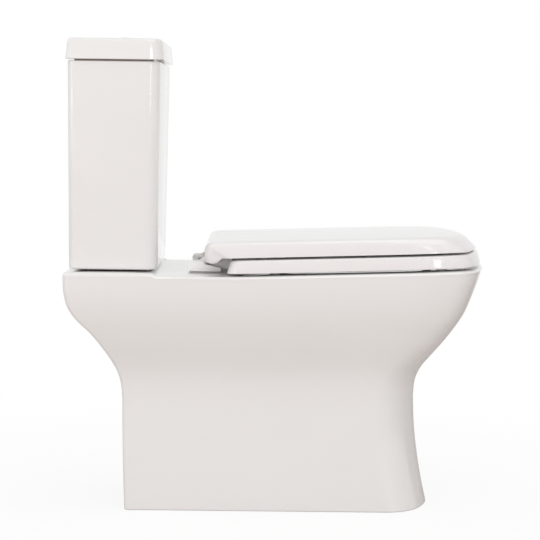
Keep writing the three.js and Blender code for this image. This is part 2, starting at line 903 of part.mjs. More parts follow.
function bezel() {
  const bore = sleeveRadius - sleeveWall;
  const top = bezelBase + bezelHeight;
  return turned(
    [
      [bore, bezelBase - sleeveLength],
      [sleeveRadius, bezelBase - sleeveLength],
      [sleeveRadius, bezelBase],
      [bezelRadius, bezelBase],
      [bezelRadius - bezelHeight / 2, top],
      [bore, top + bezelHeight / 2],
    ],
    fineSides,
    0,
    valveY,
  );
}

function lockNut() {
  const top = lidTopHeight - lidTop - clearance;
  return turned(
    [
      [sleeveRadius + clearance, top - lockNutHeight],
      [lockNutRadius * 0.9, top - lockNutHeight],
      [lockNutRadius, top - lockNutHeight / 2],
      [lockNutRadius, top],
      [sleeveRadius + clearance, top],
    ],
    fineSides,
    0,
    valveY,
  );
}

// One half of the domed button: side 1 is the large half, at the back.
function buttonHalf(side) {
  const top = bezelBase + bezelHeight;
  const foot = top - buttonHeight;
  const dome = turned(
    [
      [0, foot],
      [buttonRadius, foot],
      [buttonRadius, top],
      [buttonRadius * 0.8, top + buttonDome * 0.42],
      [buttonRadius * 0.45, top + buttonDome * 0.83],
      [0, top + buttonDome],
    ],
    fineSides,
    0,
    valveY,
  );
  const line = valveY - buttonSplit;
  const reach = buttonRadius + overrun;
  const other =
    side > 0
      ? block(-reach, reach, line - reach * 2, line + runningGap / 2, foot - overrun, top + reach)
      : block(-reach, reach, line - runningGap / 2, line + reach * 2, foot - overrun, top + reach);
  return cut(dome, other);
}

const buttonFoot = bezelBase + bezelHeight - buttonHeight;
const cageTop = cisternInside + valveFlangeHeight + valvePostHeight + cageHeight;
const leverZ = cageTop + leverRise;
const rodFoot = leverZ + leverHeight / 2 + runningGap;

function pushRod(side, foot) {
  return bar(rodRadius, foot, buttonFoot - clearance, smallSides, 0, valveY + side * rodOffset);
}

// Seat. It is made about the hinge axis and then tilted, so that it follows the rim.

const rimLevel =
  (rimBend - hingeY) * Math.sin(seatTilt) + (deckHeight - hingeZ) * Math.cos(seatTilt);
const ringBase = rimLevel + seatGap;
const ringTop = ringBase + ringThickness;
const coverBase = ringTop + coverGap;
const coverTop = coverBase + coverHeight;
const seatFront = (panFront - hingeY) / Math.cos(seatTilt);

function seatSection(front, rear, inset) {
  return {
    half: ringHalf - inset,
    rear: rear - inset,
    front: front + inset,
    bow: rimBow,
    turnIn: rimTurnIn,
    turnLength: rimTurnLength,
    corner: rimCorner,
    rearCorner: rimRearCorner,
  };
}

const noStations = [];

function seatRing() {
  const front = seatFront + ringFrontMargin;
  const ring = (inset, z) => {
    const rise = (z - ringBase) / ringThickness;
    const rear = -ringRearInset - ringRearSlant * rise;
    const slanted = front + ringFrontSlant * rise * rise;
    return atHeight(planOutline(seatSection(slanted, rear, inset), noStations), z);
  };
  const outside = loft([
    ring(ringEdge / 2, ringBase),
    ring(0, ringBase + ringEdge / 2),
    ring(0, ringTop - ringEdge),
    ring(ringEdge * 0.3, ringTop - ringEdge * 0.3),
    ring(ringEdge, ringTop),
  ]);
  const middle = front + ringBand + ringHoleLength / 2;
  const opening = (grow, z) =>
    atHeight(
      ovalOutline(
        middle,
        ringHoleLength / 2 + grow,
        ringHoleWidth / 2 + grow,
        2.9,
        fineSides + hexSides,
      ),
      z,
    );
  const hole = loft([
    opening(ringEdge / 2, ringBase - overrun),
    opening(0, ringBase + ringEdge / 2),
    opening(0, ringTop - ringEdge * 2.5),
    opening(ringEdge, ringTop - ringEdge),
    opening(ringEdge * 3, ringTop),
    opening(ringEdge * 3, ringTop + overrun),
  ]);
  const arms = [-1, 1].flatMap((side) => {
    const [a, b] = earSpan(side, ringEar);
    const root = -ringRearInset - ringRearSlant;
    const arm = [
      [root, ringBase + ringEdge],
      [-hingeFront - armDrop, ringBase + ringEdge],
      [-hingeFront + armDrop, -armDrop],
      [0, -armDrop],
      [0, armThickness - armDrop],
      [-hingeFront, armThickness - armDrop],
      [-hingeFront - armThickness, ringTop - bite],
      [root, ringTop - bite],
    ];
    return [crossBar(earRadius, a, b, roundSides), sideProfile(arm, a, b)];
  });
  const pinHoles = [-1, 1].map((side) => {
    const [a, b] = earSpan(side, ringEar);
    return crossBar(pinRadius + runningGap, a - overrun, b + overrun, smallSides);
  });
  return cut(joined(cut(outside, hole), ...arms), ...pinHoles);
}

// Between its two cheeks each hinge holds an ear of the ring, inside, and one of the cover.
const earSpace = hingeWidth - 2 * cheekWidth;
const ringEar = [-earSpace / 2 + runningGap, -runningGap / 2];
const coverEar = [runningGap / 2, earSpace / 2 - runningGap];

function earSpan(side, [inner, outer]) {
  const middle = hingeSpacing / 2;
  return side > 0 ? [middle + inner, middle + outer] : [-middle - outer, -middle - inner];
}

const coverFallShares = [0, 0.06, 0.24, 0.39, 0.57, 0.75, 1];
const coverEdgeShares = [0, 0, 0.02, 0.12, 0.34, 0.62, 1];
const crownShare = 0.82;
const coverRiseShares = [0, 0.14, 0.42, 0.68, 0.87, 0.96, 1];

// The cover's outline at a share of its height, inset all round by a wall.
function coverRing(i, inset, z) {
  const front = seatFront + coverFrontMargin + coverFrontFall * coverFallShares[i];
  const edge = coverEdge * coverEdgeShares[i];
  const rear = -noseInset - noseTopRadius;
  const section = { ...seatSection(front, rear, edge + inset), front: front + inset, rear };
  return atHeight(planOutline(section, noStations), z);
}

function coverNose() {
  const lobe = coverBase - noseDrop + noseRadius;
  const middle = -noseInset - noseRadius;
  const shape = new THREE.Shape();
  const rear = middle + noseRadius;
  const front = middle - noseRadius - noseEnd;
  shape.moveTo(front, coverTop);
  shape.lineTo(front, lobe);
  shape.lineTo(middle - noseRadius, lobe);
  shape.absarc(middle, lobe, noseRadius, Math.PI, 2 * Math.PI, false);
  shape.lineTo(rear, coverTop - noseTopRadius);
  shape.absarc(rear - noseTopRadius, coverTop - noseTopRadius, noseTopRadius, 0, quarterTurn);
  const length = 2 * (ringHalf - noseEnd - bite);
  const geometry = new THREE.ExtrudeGeometry(shape, {
    depth: length,
    curveSegments: cornerSteps + 2,
    bevelEnabled: true,
    bevelThickness: noseEnd,
    bevelSize: noseEnd,
    bevelOffset: -noseEnd,
    bevelSegments: 3,
  });
  return solidOf(
    geometry.rotateX(quarterTurn).rotateZ(quarterTurn).translate(-length / 2, 0, 0),
  );
}

function seatCover() {
  const rings = coverRiseShares.map((share, i) =>
    coverRing(i, 0, coverBase + coverHeight * share),
  );
  const crown = rings[rings.length - 1].map(([x, y, z]) => [x * crownShare, y, z]);
  const shell = loft([...rings, crownRing(crown)]);
  const hollow = loft([
    coverRing(0, coverWall, coverBase - overrun),
    coverRing(1, coverWall, coverBase + coverHeight * coverRiseShares[1]),
    coverRing(3, coverWall, coverBase + coverHeight * coverRiseShares[2]),
    coverRing(5, coverWall, coverTop - coverWall),
  ]);
  const rearWall = block(
    -ringHalf,
    ringHalf,
    -noseInset - noseRadius * 2 - coverWall,
    0,
    coverBase - overrun * 2,
    coverTop,
  );
  const bosses = coverBufferPlaces.map(([x, y]) =>
    bar(coverBufferRadius + padMargin, coverBase, coverTop - coverWall / 2, smallSides, x, y),
  );
  const ears = [-1, 1].flatMap((side) => {
    const [a, b] = earSpan(side, coverEar);
    const lobe = coverBase - noseDrop;
    const web = [
      [-noseInset - noseRadius * 0.6, lobe + noseRadius],
      [-noseInset - noseRadius * 0.8, lobe + bite],
      [-earRadius * 0.45, -earRadius * 0.85],
      [earRadius * 0.7, earRadius * 0.6],
    ];
    return [crossBar(earRadius, a, b, roundSides), sideProfile(web, a, b)];
  });
  const pinHoles = [-1, 1].map((side) => {
    const [a, b] = earSpan(side, coverEar);
    return crossBar(pinRadius + runningGap, a - overrun, b + overrun, smallSides);
  });
  const body = joined(cut(shell, cut(hollow, rearWall)), coverNose(), ...bosses);
  return cut(joined(body, ...ears), ...pinHoles);
}

// The low crown on the cover's flat top.
function crownRing(ring) {
  const count = ring.length;
  const middleY = ring.reduce((sum, [, y]) => sum + y, 0) / count;
  return ring.map(([x, y, z]) => [x, mix(middleY, y, crownShare), z + coverCrown]);
}

const ringBufferPlaces = [-1, 1].flatMap((side) => [
  [side * bufferSide, -bufferRear],
  [side * (bufferSide - rimCorner / 4), -bufferFront],
]);
const coverBufferPlaces = ringBufferPlaces.map(([x, y]) => [x, y - ringBufferRadius]);

function buffer(radius, from, to) {
  return turned(
    [
      [0, from],
      [radius * 0.8, from],
      [radius, from + radius * 0.15],
      [radius, to],
      [0, to],
    ],
    smallSides,
  );
}

// Hinges, about their own axis on the deck

const hingeCornerShares = [0, 0.5, 1];

// The base of the hinge on a side: two cheeks on a floor, with a notch in the inner cheek.
function hingeBase(side) {
  const half = hingeWidth / 2;
  const channel = half - cheekWidth;
  const level = (height) => height - hingeAxisRise;
  const base = level(padThickness + clearance * 2);
  const roundTop = level(hingeTop) - hingeCorner;
  const corner = hingeCornerShares.map((share) => {
    const angle = quarterTurn * share;
    return [
      hingeRear - hingeCorner * (1 - Math.cos(angle)),
      roundTop + hingeCorner * Math.sin(angle),
    ];
  });
  const blank = sideProfile(
    [
      [-hingeFront, base],
      [hingeRear, base],
      ...corner,
      [-hingeStep + bite, level(hingeTop)],
      [-hingeStep, level(hingeStepTop)],
      [-hingeFront + bite, level(hingeNoseTop)],
      [-hingeFront, level(hingeNoseTop) - bite],
    ],
    -half,
    half,
  );
  const hollow = sideProfile(
    [
      [-hingeFront - overrun, level(hingeFloor)],
      [-earRadius - bite * 2, level(hingeFloor)],
      [-earRadius - bite, level(hingeEarFloor)],
      [hingeRear + overrun, level(hingeEarFloor)],
      [hingeRear + overrun, level(hingeTop) + overrun],
      [-hingeFront - overrun, level(hingeTop) + overrun],
    ],
    -channel,
    channel,
  );
  const notch = sideProfile(
    [
      [hingeRear - notchLength, -notchHeight / 2],
      [hingeRear + overrun, -notchHeight / 2],
      [hingeRear + overrun, notchHeight / 2],
      [hingeRear - notchLength, notchHeight / 2],
    ],
    side > 0 ? -half - overrun : channel - overrun,
    side > 0 ? -channel + overrun : half + overrun,
  );
  const recess = base + studLedge;
  return cut(
    blank,
    hollow,
    notch,
    bar(studHead + clearance, recess, recess + hingeTop, roundSides, 0, -studInset),
    bar(studRadius + clearance, base - overrun, recess + overrun, roundSides, 0, -studInset),
    side > 0
      ? crossBar(pinRadius + clearance, -half - overrun, half - pinCover, smallSides)
      : crossBar(pinRadius + clearance, pinCover - half, half + overrun, smallSides),
  );
}

function hingePad() {
  const from = deckHeight - hingeZ + clearance;
  const half = hingeWidth / 2 - padMargin;
  const pad = block(
    -half,
    half,
    -hingeFront + padMargin,
    hingeRear - padMargin,
    from,
    from + padThickness,
  );
  return cut(
    pad,
    bar(studRadius + clearance, from - overrun, from + overrun, roundSides, 0, -studInset),
  );
}

// The pin is held in the ring's ear and turns in the cheeks. It goes in from the inner cheek and
// stops short of the outer one's face.
function hingePin(side) {
  const inner = hingeWidth / 2;
  const outer = hingeWidth / 2 - pinCover - clearance;
  return side > 0
    ? crossBar(pinRadius, -inner, outer, smallSides)
    : crossBar(pinRadius, -outer, inner, smallSides);
}

function hingeStud() {
  const headBase = deckHeight - hingeZ + padThickness + studLedge + clearance * 3;
  const headTop = headBase + studHeadHeight;
  return turned(
    [
      [0, headBase - studLength],
      [studRadius * 0.8, headBase - studLength],
      [studRadius, headBase - studLength + studRadius / 2],
      [studRadius, headBase],
      [studHead, headBase],
      [studHead, headTop],
      [0, headTop],
    ],
    roundSides,
    0,
    -studInset,
  );
}

function hingeCone() {
  const top = deckHeight - hingeZ - deckThickness - clearance;
  return turned(
    [
      [studRadius + clearance, top - studConeHeight],
      [studConeRadius * 0.75, top - studConeHeight],
      [studConeRadius, top - studConeHeight * 0.3],
      [studConeRadius, top],
      [studRadius + clearance, top],
    ],
    roundSides,
    0,
    -studInset,
  );
}

// A wing nut whose top is at a height.
function wingNut(bore, top, y) {
  const foot = top - wingNutHeight;
  const wings = sideProfile(
    [
      [y - wingNutRadius * 0.8, top - wingNutHeight * 0.3],
      [y - wingSpan, foot - wingNutHeight * 0.3],
      [y - wingSpan * 0.7, foot - wingNutHeight * 0.5],
      [y + wingSpan * 0.7, foot - wingNutHeight * 0.5],
      [y + wingSpan, foot - wingNutHeight * 0.3],
      [y + wingNutRadius * 0.8, top - wingNutHeight * 0.3],
    ],
    -wingThickness / 2,
    wingThickness / 2,
  );
  const body = bar(wingNutRadius, foot, top, roundSides, 0, y);
  return cut(
    joined(body, wings),
    bar(bore + clearance, foot - wingNutHeight, top + overrun, smallSides, 0, y),
  );
}

// Cistern-to-pan joint, each piece about its own vertical axis

function couplingSeal() {
  const inner = tailNutRadius + clearance;
  return sleeve(
    inner,
    inner + couplingSealWall,
    platformHeight - inletRecessDepth + clearance,
    cisternBase - clearance,
    fineSides,
  );
}

function couplingBolt() {
  const headBase = cisternInside + boltSealHeight + clearance * 2;
  return turned(
    [
      [0, headBase - boltLength],
      [boltRadius * 0.8, headBase - boltLength],
      [boltRadius, headBase - boltLength + boltRadius / 2],
      [boltRadius, headBase],
      [boltHead, headBase],
      [boltHead, headBase + boltHeadHeight * 0.6],
      [boltHead * 0.6, headBase + boltHeadHeight],
      [0, headBase + boltHeadHeight],
    ],
    roundSides,
  );
}

function boltSeal() {
  const foot = cisternInside + clearance;
  return turned(
    [
      [boltRadius + clearance, foot],
      [boltSealRadius, foot],
      [boltSealRadius * 0.8, foot + boltSealHeight],
      [boltRadius + clearance, foot + boltSealHeight],
    ],
    roundSides,
  );
}

const shelfUnderside =
  deckHeight - deckThickness + platformRise * (1 - deckThickness / platformFade);

function plateWasher() {
  const top = shelfUnderside - clearance;
  return sleeve(
    boltRadius + clearance,
    plateWasherRadius,
    top - plateWasherHeight,
    top,
    roundSides,
  );
}

// Flush valve, about its own vertical axis

const valveSeat = cisternInside + clearance;
const valveDeck = valveSeat + valveFlangeHeight;

function flushValveBase() {
  const bore = tailRadius - tailWall;
  const lipTop = valveDeck + seatLipHeight;
  const body = turned(
    [
      [bore, valveSeat - tailLength],
      [tailRadius, valveSeat - tailLength],
      [tailRadius, valveSeat],
      [valveFlange, valveSeat],
      [valveFlange, valveDeck],
      [bore, valveDeck],
    ],
    fineSides,
  );
  const lip = sleeve(
    seatLipRadius - tailWall / 2,
    bore + bite,
    valveDeck - bite,
    lipTop,
    fineSides,
  );
  const bridge = bar(bore + bite, valveDeck - bite * 2, valveDeck, fineSides);
  const posts = Array.from({ length: valvePosts }, (_, i) => {
    const angle = (2 * Math.PI * (i + 0.5)) / valvePosts;
    const reach = valveFlange - valvePostRadius * 1.4;
    return bar(
      valvePostRadius,
      valveDeck - bite,
      valveDeck + valvePostHeight,
      smallSides,
      reach * Math.cos(angle),
      reach * Math.sin(angle),
    );
  });
  const open = bar(seatLipRadius - tailWall / 2, valveSeat - overrun, lipTop + overrun, fineSides);
  return cut(joined(body, lip, bridge, ...posts), open);
}

function flushValveCage() {
  const foot = valveDeck + valvePostHeight + clearance;
  const top = foot + cageHeight - clearance * 3;
  const headBase = top - cageHeadHeight;
  const wall = sleeve(cageRadius - cageWall, cageRadius, foot, headBase + bite, fineSides);
  const footRing = sleeve(cageRadius - bite, valveFlange, foot, foot + cageWall * 2, fineSides);
  const head = bar(cageRadius + cageWall, headBase, top, fineSides);
  const slot = block(
    -cageSlotWidth / 2,
    cageSlotWidth / 2,
    0,
    valveFlange + overrun,
    cisternInside + liftRodFoot - liftArmHeight,
    cisternInside + liftRodFoot + liftArmHeight * 2 + buttonTravel,
  );
  const footSlot = block(
    -cageSlotWidth / 2,
    cageSlotWidth / 2,
    cageRadius / 2,
    valveFlange + overrun,
    foot - overrun,
    cisternInside + liftRodFoot,
  );
  const windows = [-1, 1].map((side) =>
    block(
      side < 0 ? -valveFlange : cageRadius / 2,
      side < 0 ? -cageRadius / 2 : valveFlange,
      -cageSlotWidth / 2,
      cageSlotWidth / 2,
      foot + cageHeight * 0.2,
      headBase - cageHeight * 0.15,
    ),
  );
  const ears = [-1, 1].map((side) => {
    const inner = leverWidth / 2 + runningGap;
    const outer = inner + cageWall;
    const [a, b] = side < 0 ? [-outer, -inner] : [inner, outer];
    const fromY = leverPivotReach - leverHeight;
    return joined(
      block(a, b, fromY, leverPivotReach + leverHeight * 0.6, top - cageWall, leverZ),
      crossBar(leverHeight * 0.6, a, b, smallSides, leverPivotReach, leverZ),
    );
  });
  const pinHole = crossBar(
    leverPinRadius + clearance,
    -valveFlange,
    valveFlange,
    smallSides,
    leverPivotReach,
    leverZ,
  );
  return cut(joined(wall, footRing, head, ...ears), slot, footSlot, ...windows, pinHole);
}

function overflowTube() {
  const foot = valveDeck + seatLipHeight + sealHeight + clearance * 2;
  const tube = sleeve(tubeRadius - tubeWall, tubeRadius, foot, foot + tubeHeight, roundSides);
  const plate = sleeve(
    tubeRadius - tubeWall,
    sealRadius - tubeWall,
    foot,
    foot + sealPlateHeight,
    fineSides,
  );
  const armBase = cisternInside + liftRodFoot;
  const arm = block(
    -liftRodRadius,
    liftRodRadius,
    tubeRadius - tubeWall / 2,
    liftReach + leverHeight / 2,
    armBase,
    armBase + liftArmHeight,
  );
  const collarBase = leverZ + leverHeight / 2 + runningGap;
  const rod = bar(
    liftRodRadius,
    armBase,
    collarBase + liftArmHeight / 2,
    smallSides,
    0,
    liftReach + leverHeight / 2,
  );
  const collar = block(
    -liftRodRadius,
    liftRodRadius,
    liftReach - leverHeight * 1.2,
    liftReach + leverHeight / 2,
    collarBase,
    collarBase + liftArmHeight / 2,
  );
  return joined(tube, plate, arm, rod, collar);
}

function flushSeal() {
  const foot = valveDeck + seatLipHeight + clearance;
  return sleeve(tubeRadius - tubeWall, sealRadius, foot, foot + sealHeight, fineSides);
}

function tailNut() {
  const top = cisternBase - clearance;
  return sleeve(tailRadius + clearance, tailNutRadius, top - tailNutHeight, top, fineSides);
}

// The lever about its pivot: the push rod bears on one end and the other lifts the tube.
function liftLever() {
  const inner = leverPivotReach - rodOffset;
  const outer = liftReach - leverPivotReach - leverHeight / 2 - runningGap;
  const tip = leverHeight * 0.2;
  const profile = [
    [-inner - rodRadius, tip],
    [-inner - rodRadius, leverHeight / 2],
    [-inner + rodRadius, leverHeight / 2],
    [0, leverHeight / 2],
    [outer, leverHeight / 2],
    [outer, tip],
    [leverHeight / 2, -leverHeight / 2],
    [-leverHeight / 2, -leverHeight / 2],
  ];
  return cut(
    sideProfile(profile, -leverWidth / 2, leverWidth / 2),
    crossBar(leverPinRadius + clearance, -leverWidth, leverWidth, smallSides),
  );
}

function leverPin() {
  const half = leverWidth / 2 + runningGap + cageWall;
  return crossBar(leverPinRadius, -half, half, smallSides);
}

// Fill valve, about its own vertical axis

const fillFlangeBase = cisternInside + fillWasherHeight + clearance * 2;

function fillValveBody() {
  const top = fillFlangeBase + fillBodyHeight;
  const body = turned(
    [
      [fillTailBore, fillFlangeBase - fillTailLength],
      [fillTailRadius, fillFlangeBase - fillTailLength],
      [fillTailRadius, fillFlangeBase],
      [fillFlange, fillFlangeBase],
      [fillFlange, fillFlangeBase + fillFlangeHeight],
      [fillBodyRadius, fillFlangeBase + fillFlangeHeight],
      [fillBodyRadius, top],
      [fillTailBore, top],
    ],
    roundSides,
  );
  const stop = sleeve(
    fillBodyRadius - bite,
    floatBore + bite * 2,
    cisternInside + floatRest - clearance - fillFlangeHeight,
    cisternInside + floatRest - clearance,
    roundSides,
  );
  return joined(body, stop);
}

const fillHeadBase = fillFlangeBase + fillBodyHeight + clearance;

function fillValveHead() {
  const top = fillHeadBase + fillHeadHeight;
  const head = turned(
    [
      [0, fillHeadBase],
      [fillHeadRadius * 0.8, fillHeadBase],
      [fillHeadRadius, fillHeadBase + fillHeadHeight * 0.15],
      [fillHeadRadius, top - fillHeadHeight * 0.2],
      [fillHeadRadius * 0.75, top],
      [0, top],
    ],
    roundSides,
  );
  const pivotY = -fillHeadRadius - floatArmThickness;
  const ears = [-1, 1].map((side) => {
    const inner = floatArmWidth / 2 + runningGap;
    const outer = inner + floatArmThickness / 2;
    const [a, b] = side < 0 ? [-outer, -inner] : [inner, outer];
    return block(
      a,
      b,
      pivotY - floatArmThickness,
      -fillHeadRadius * 0.7,
      floatArmZ - floatArmThickness,
      floatArmZ + floatArmThickness,
    );
  });
  const pinHole = crossBar(
    floatLinkRadius + clearance,
    -fillHeadRadius,
    fillHeadRadius,
    smallSides,
    pivotY,
    floatArmZ,
  );
  return cut(joined(head, ...ears), pinHole);
}

const floatArmZ = fillHeadBase + fillHeadHeight * 0.5;
const floatArmPivotY = -fillHeadRadius - floatArmThickness;

function floatCup() {
  const foot = cisternInside + floatRest;
  const top = foot + floatHeight;
  const cup = turned(
    [
      [floatBore, foot],
      [floatBore, top],
      [floatRadius, top],
      [floatRadius, foot],
      [floatRadius - floatWall, foot],
      [floatRadius - floatWall, top - floatWall],
      [floatBore + floatWall, top - floatWall],
      [floatBore + floatWall, foot],
    ],
    fineSides,
  );
  const lug = block(
    -floatArmWidth / 2,
    floatArmWidth / 2,
    floatArmPivotY - floatArmReach - floatArmThickness,
    -floatRadius + floatWall / 2,
    top - floatArmThickness,
    top,
  );
  return joined(cup, lug);
}

// The arm about its pivot. It turns with the cup, which lifts it through the link.
function floatArm() {
  const half = floatArmWidth / 2;
  const thick = floatArmThickness / 2;
  const arm = sideProfile(
    [
      [-floatArmReach - thick, -thick],
      [thick, -thick],
      [thick * 2, 0],
      [thick, thick],
      [-floatArmReach - thick, thick],
    ],
    -half,
    half,
  );
  return cut(arm, crossBar(floatLinkRadius * 0.6, -half * 3, half * 3, smallSides));
}

function floatLink() {
  const foot = cisternInside + floatRest + floatHeight + clearance;
  const top = floatArmZ - floatArmThickness / 2 - runningGap;
  return bar(floatLinkRadius, foot, top, smallSides, 0, floatArmPivotY - floatArmReach);
}

function fillWasher() {
  const foot = cisternInside + clearance;
  return sleeve(
    fillTailRadius + clearance,
    fillFlange,
    foot,
    foot + fillWasherHeight,
    roundSides,
  );
}

function fillNut() {
  const top = cisternBase - clearance;
  return cut(
    bar(fillNutRadius, top - fillNutHeight, top, hexSides),
    bar(fillTailRadius + clearance, top - fillNutHeight - overrun, top + overrun, roundSides),
  );
}

// A hose from the head of the fill valve over to the top of the overflow tube.
function refillTube() {
  const startX = fillInset - fillHeadRadius - clearance;
  const height = fillHeadBase + fillHeadHeight * 0.35;
  const path = new THREE.CatmullRomCurve3(
    [
      [startX, fillY, height],
      [startX - fillHeadRadius, fillY, height],
      [mix(startX, cageRadius, 0.55), mix(fillY, valveY, 0.6), height + refillRadius * 3],
      [cageRadius + cageWall * 4, valveY, height - refillRadius],
      [cageRadius + cageWall + refillRadius + clearance, valveY, cageTop - cageHeadHeight / 2],
    ].map((point) => new THREE.Vector3(...point)),
  );
  const hose = (radius) =>
    solidOf(
      new THREE.ExtrudeGeometry(new THREE.Shape().absarc(0, 0, radius, 0, 2 * Math.PI), {
        steps: smallSides,
        curveSegments: hexSides / 2,
        extrudePath: path,
      }),
    );
  return cut(hose(refillRadius), hose(refillBore));
}

// Floor fixings

function floorScrew() {
  const headBase = lugHeight + floorBushHeight + clearance * 2;
  return turned(
    [
      [0, clearance],
      [floorScrewShank * 0.5, clearance],
      [floorScrewShank, floorScrewShank * 2],
      [floorScrewShank, headBase],
      [floorScrewHead, headBase],
      [floorScrewHead * 0.9, headBase + floorScrewHeadHeight * 0.7],
      [floorScrewHead * 0.5, headBase + floorScrewHeadHeight],
      [0, headBase + floorScrewHeadHeight],
    ],
    smallSides,
  );
}

function floorBush() {
  const foot = lugHeight + clearance;
  return turned(
    [
      [floorScrewShank + clearance, foot],
      [floorBushRadius, foot],
      [floorBushRadius * 0.85, foot + floorBushHeight],
      [floorScrewShank + clearance, foot + floorBushHeight],
    ],
    roundSides,
  );
}

// Assembly

const toilet = new THREE.Group();
const names = ["left", "right"];
const sides = [-1, 1];

toilet.add(piece("pan", pan(), ceramic()));
toilet.add(piece("cistern", cistern(), ceramic()));
toilet.add(piece("cistern_lid", cisternLid(), ceramic()));

toilet.add(piece("button_bezel", bezel(), chrome()));
toilet.add(piece("button_lock_nut", lockNut(), whitePlastic()));
toilet.add(piece("full_flush_button", buttonHalf(1), chrome()));
toilet.add(piece("half_flush_button", buttonHalf(-1), chrome()));
toilet.add(piece("full_flush_rod", pushRod(1, rodFoot), greyPlastic()));
toilet.add(piece("half_flush_rod", pushRod(-1, cageTop + buttonTravel * 2), greyPlastic()));

const seat = new THREE.Group();
seat.position.set(0, hingeY, hingeZ);
seat.rotation.x = -seatTilt;
seat.add(piece("seat_ring", seatRing(), seatPlastic()));
seat.add(piece("seat_cover", seatCover(), seatPlastic()));
ringBufferPlaces.forEach(([x, y], i) => {
  const solid = buffer(ringBufferRadius, rimLevel + clearance, ringBase - clearance);
  const mesh = piece(`ring_buffer_${i + 1}`, solid, greyPlastic());
  mesh.position.set(x, y, 0);
  seat.add(mesh);
});
coverBufferPlaces.forEach(([x, y], i) => {
  const solid = buffer(coverBufferRadius, ringTop + clearance, coverBase - clearance);
  const mesh = piece(`cover_buffer_${i + 1}`, solid, greyPlastic());
  mesh.position.set(x, y, 0);
  seat.add(mesh);
});
toilet.add(seat);

sides.forEach((side, i) => {
  const hinge = new THREE.Group();
  hinge.position.set((side * hingeSpacing) / 2, hingeY, hingeZ);
  const label = names[i];
  const coneBase = deckHeight - hingeZ - deckThickness - studConeHeight - clearance * 2;
  hinge.add(piece(`hinge_base_${label}`, hingeBase(side), seatPlastic()));
  hinge.add(piece(`hinge_pad_${label}`, hingePad(), blackRubber()));
  hinge.add(piece(`hinge_pin_${label}`, hingePin(side), steel()));
  hinge.add(piece(`hinge_stud_${label}`, hingeStud(), steel()));
  hinge.add(piece(`hinge_cone_${label}`, hingeCone(), blackRubber()));
  const nut = wingNut(studRadius, coneBase, -studInset);
  hinge.add(piece(`hinge_wing_nut_${label}`, nut, whitePlastic()));
  toilet.add(hinge);

  const joint = new THREE.Group();
  joint.position.set((side * boltSpacing) / 2, valveY, 0);
  const washerBase = shelfUnderside - plateWasherHeight - clearance * 2;
  joint.add(piece(`coupling_bolt_${label}`, couplingBolt(), steel()));
  joint.add(piece(`bolt_seal_${label}`, boltSeal(), blackRubber()));
  joint.add(piece(`plate_washer_${label}`, plateWasher(), steel()));
  joint.add(piece(`coupling_wing_nut_${label}`, wingNut(boltRadius, washerBase, 0), steel()));
  toilet.add(joint);

  const fixing = new THREE.Group();
  fixing.position.set(side * lugX, lugY, 0);
  fixing.add(piece(`floor_screw_${label}`, floorScrew(), steel()));
  fixing.add(piece(`floor_bush_${label}`, floorBush(), whitePlastic()));
  toilet.add(fixing);
});

const valve = new THREE.Group();
valve.position.set(0, valveY, 0);
valve.add(piece("coupling_seal", couplingSeal(), blackRubber()));
valve.add(piece("flush_valve_base", flushValveBase(), whitePlastic()));
valve.add(piece("flush_valve_cage", flushValveCage(), whitePlastic()));
valve.add(piece("overflow_tube", overflowTube(), greyPlastic()));
valve.add(piece("flush_seal", flushSeal(), blackRubber()));
valve.add(piece("flush_valve_nut", tailNut(), whitePlastic()));
const lever = piece("lift_lever", liftLever(), greyPlastic());
lever.position.set(0, leverPivotReach, leverZ);
valve.add(lever);
const pivot = piece("lift_lever_pin", leverPin(), steel());
pivot.position.copy(lever.position);
valve.add(pivot);
toilet.add(valve);

const fill = new THREE.Group();
fill.position.set(fillInset, fillY, 0);
fill.add(piece("fill_valve_body", fillValveBody(), whitePlastic()));
fill.add(piece("fill_valve_head", fillValveHead(), whitePlastic()));
fill.add(piece("fill_valve_washer", fillWasher(), blackRubber()));
fill.add(piece("fill_valve_nut", fillNut(), whitePlastic()));
fill.add(piece("float_cup", floatCup(), greyPlastic()));
fill.add(piece("float_link", floatLink(), whitePlastic()));
const arm = piece("float_arm", floatArm(), whitePlastic());
arm.position.set(0, floatArmPivotY, floatArmZ);
fill.add(arm);
toilet.add(fill);
toilet.add(piece("refill_tube", refillTube(), whitePlastic()));

export default toilet;
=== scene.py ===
import json
import math

import bmesh
import bpy
from mathutils import Matrix, Vector


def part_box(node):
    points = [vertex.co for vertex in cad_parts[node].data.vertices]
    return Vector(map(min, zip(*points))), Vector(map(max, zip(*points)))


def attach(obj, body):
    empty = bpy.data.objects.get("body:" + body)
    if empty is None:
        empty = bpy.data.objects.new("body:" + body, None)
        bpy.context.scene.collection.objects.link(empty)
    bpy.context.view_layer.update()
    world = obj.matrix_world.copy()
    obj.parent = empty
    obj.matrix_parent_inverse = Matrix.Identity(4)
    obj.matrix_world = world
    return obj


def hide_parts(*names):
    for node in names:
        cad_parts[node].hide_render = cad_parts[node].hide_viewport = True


# The looks of a two-piece, close-coupled toilet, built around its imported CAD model, in metres
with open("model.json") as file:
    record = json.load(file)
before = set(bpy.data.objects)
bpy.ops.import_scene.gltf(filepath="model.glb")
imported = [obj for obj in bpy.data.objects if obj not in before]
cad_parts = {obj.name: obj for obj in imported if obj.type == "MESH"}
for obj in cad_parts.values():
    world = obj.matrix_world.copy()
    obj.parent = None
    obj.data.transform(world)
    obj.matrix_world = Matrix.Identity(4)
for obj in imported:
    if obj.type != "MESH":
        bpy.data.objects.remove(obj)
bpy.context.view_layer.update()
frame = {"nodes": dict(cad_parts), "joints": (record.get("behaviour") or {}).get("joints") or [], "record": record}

# The CAD pieces that the new ones are fitted to
PAN_LOW, PAN_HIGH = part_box("pan")
CISTERN_LOW, CISTERN_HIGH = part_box("cistern")
LID_LOW, LID_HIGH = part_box("cistern_lid")
BEZEL_LOW, BEZEL_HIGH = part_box("button_bezel")

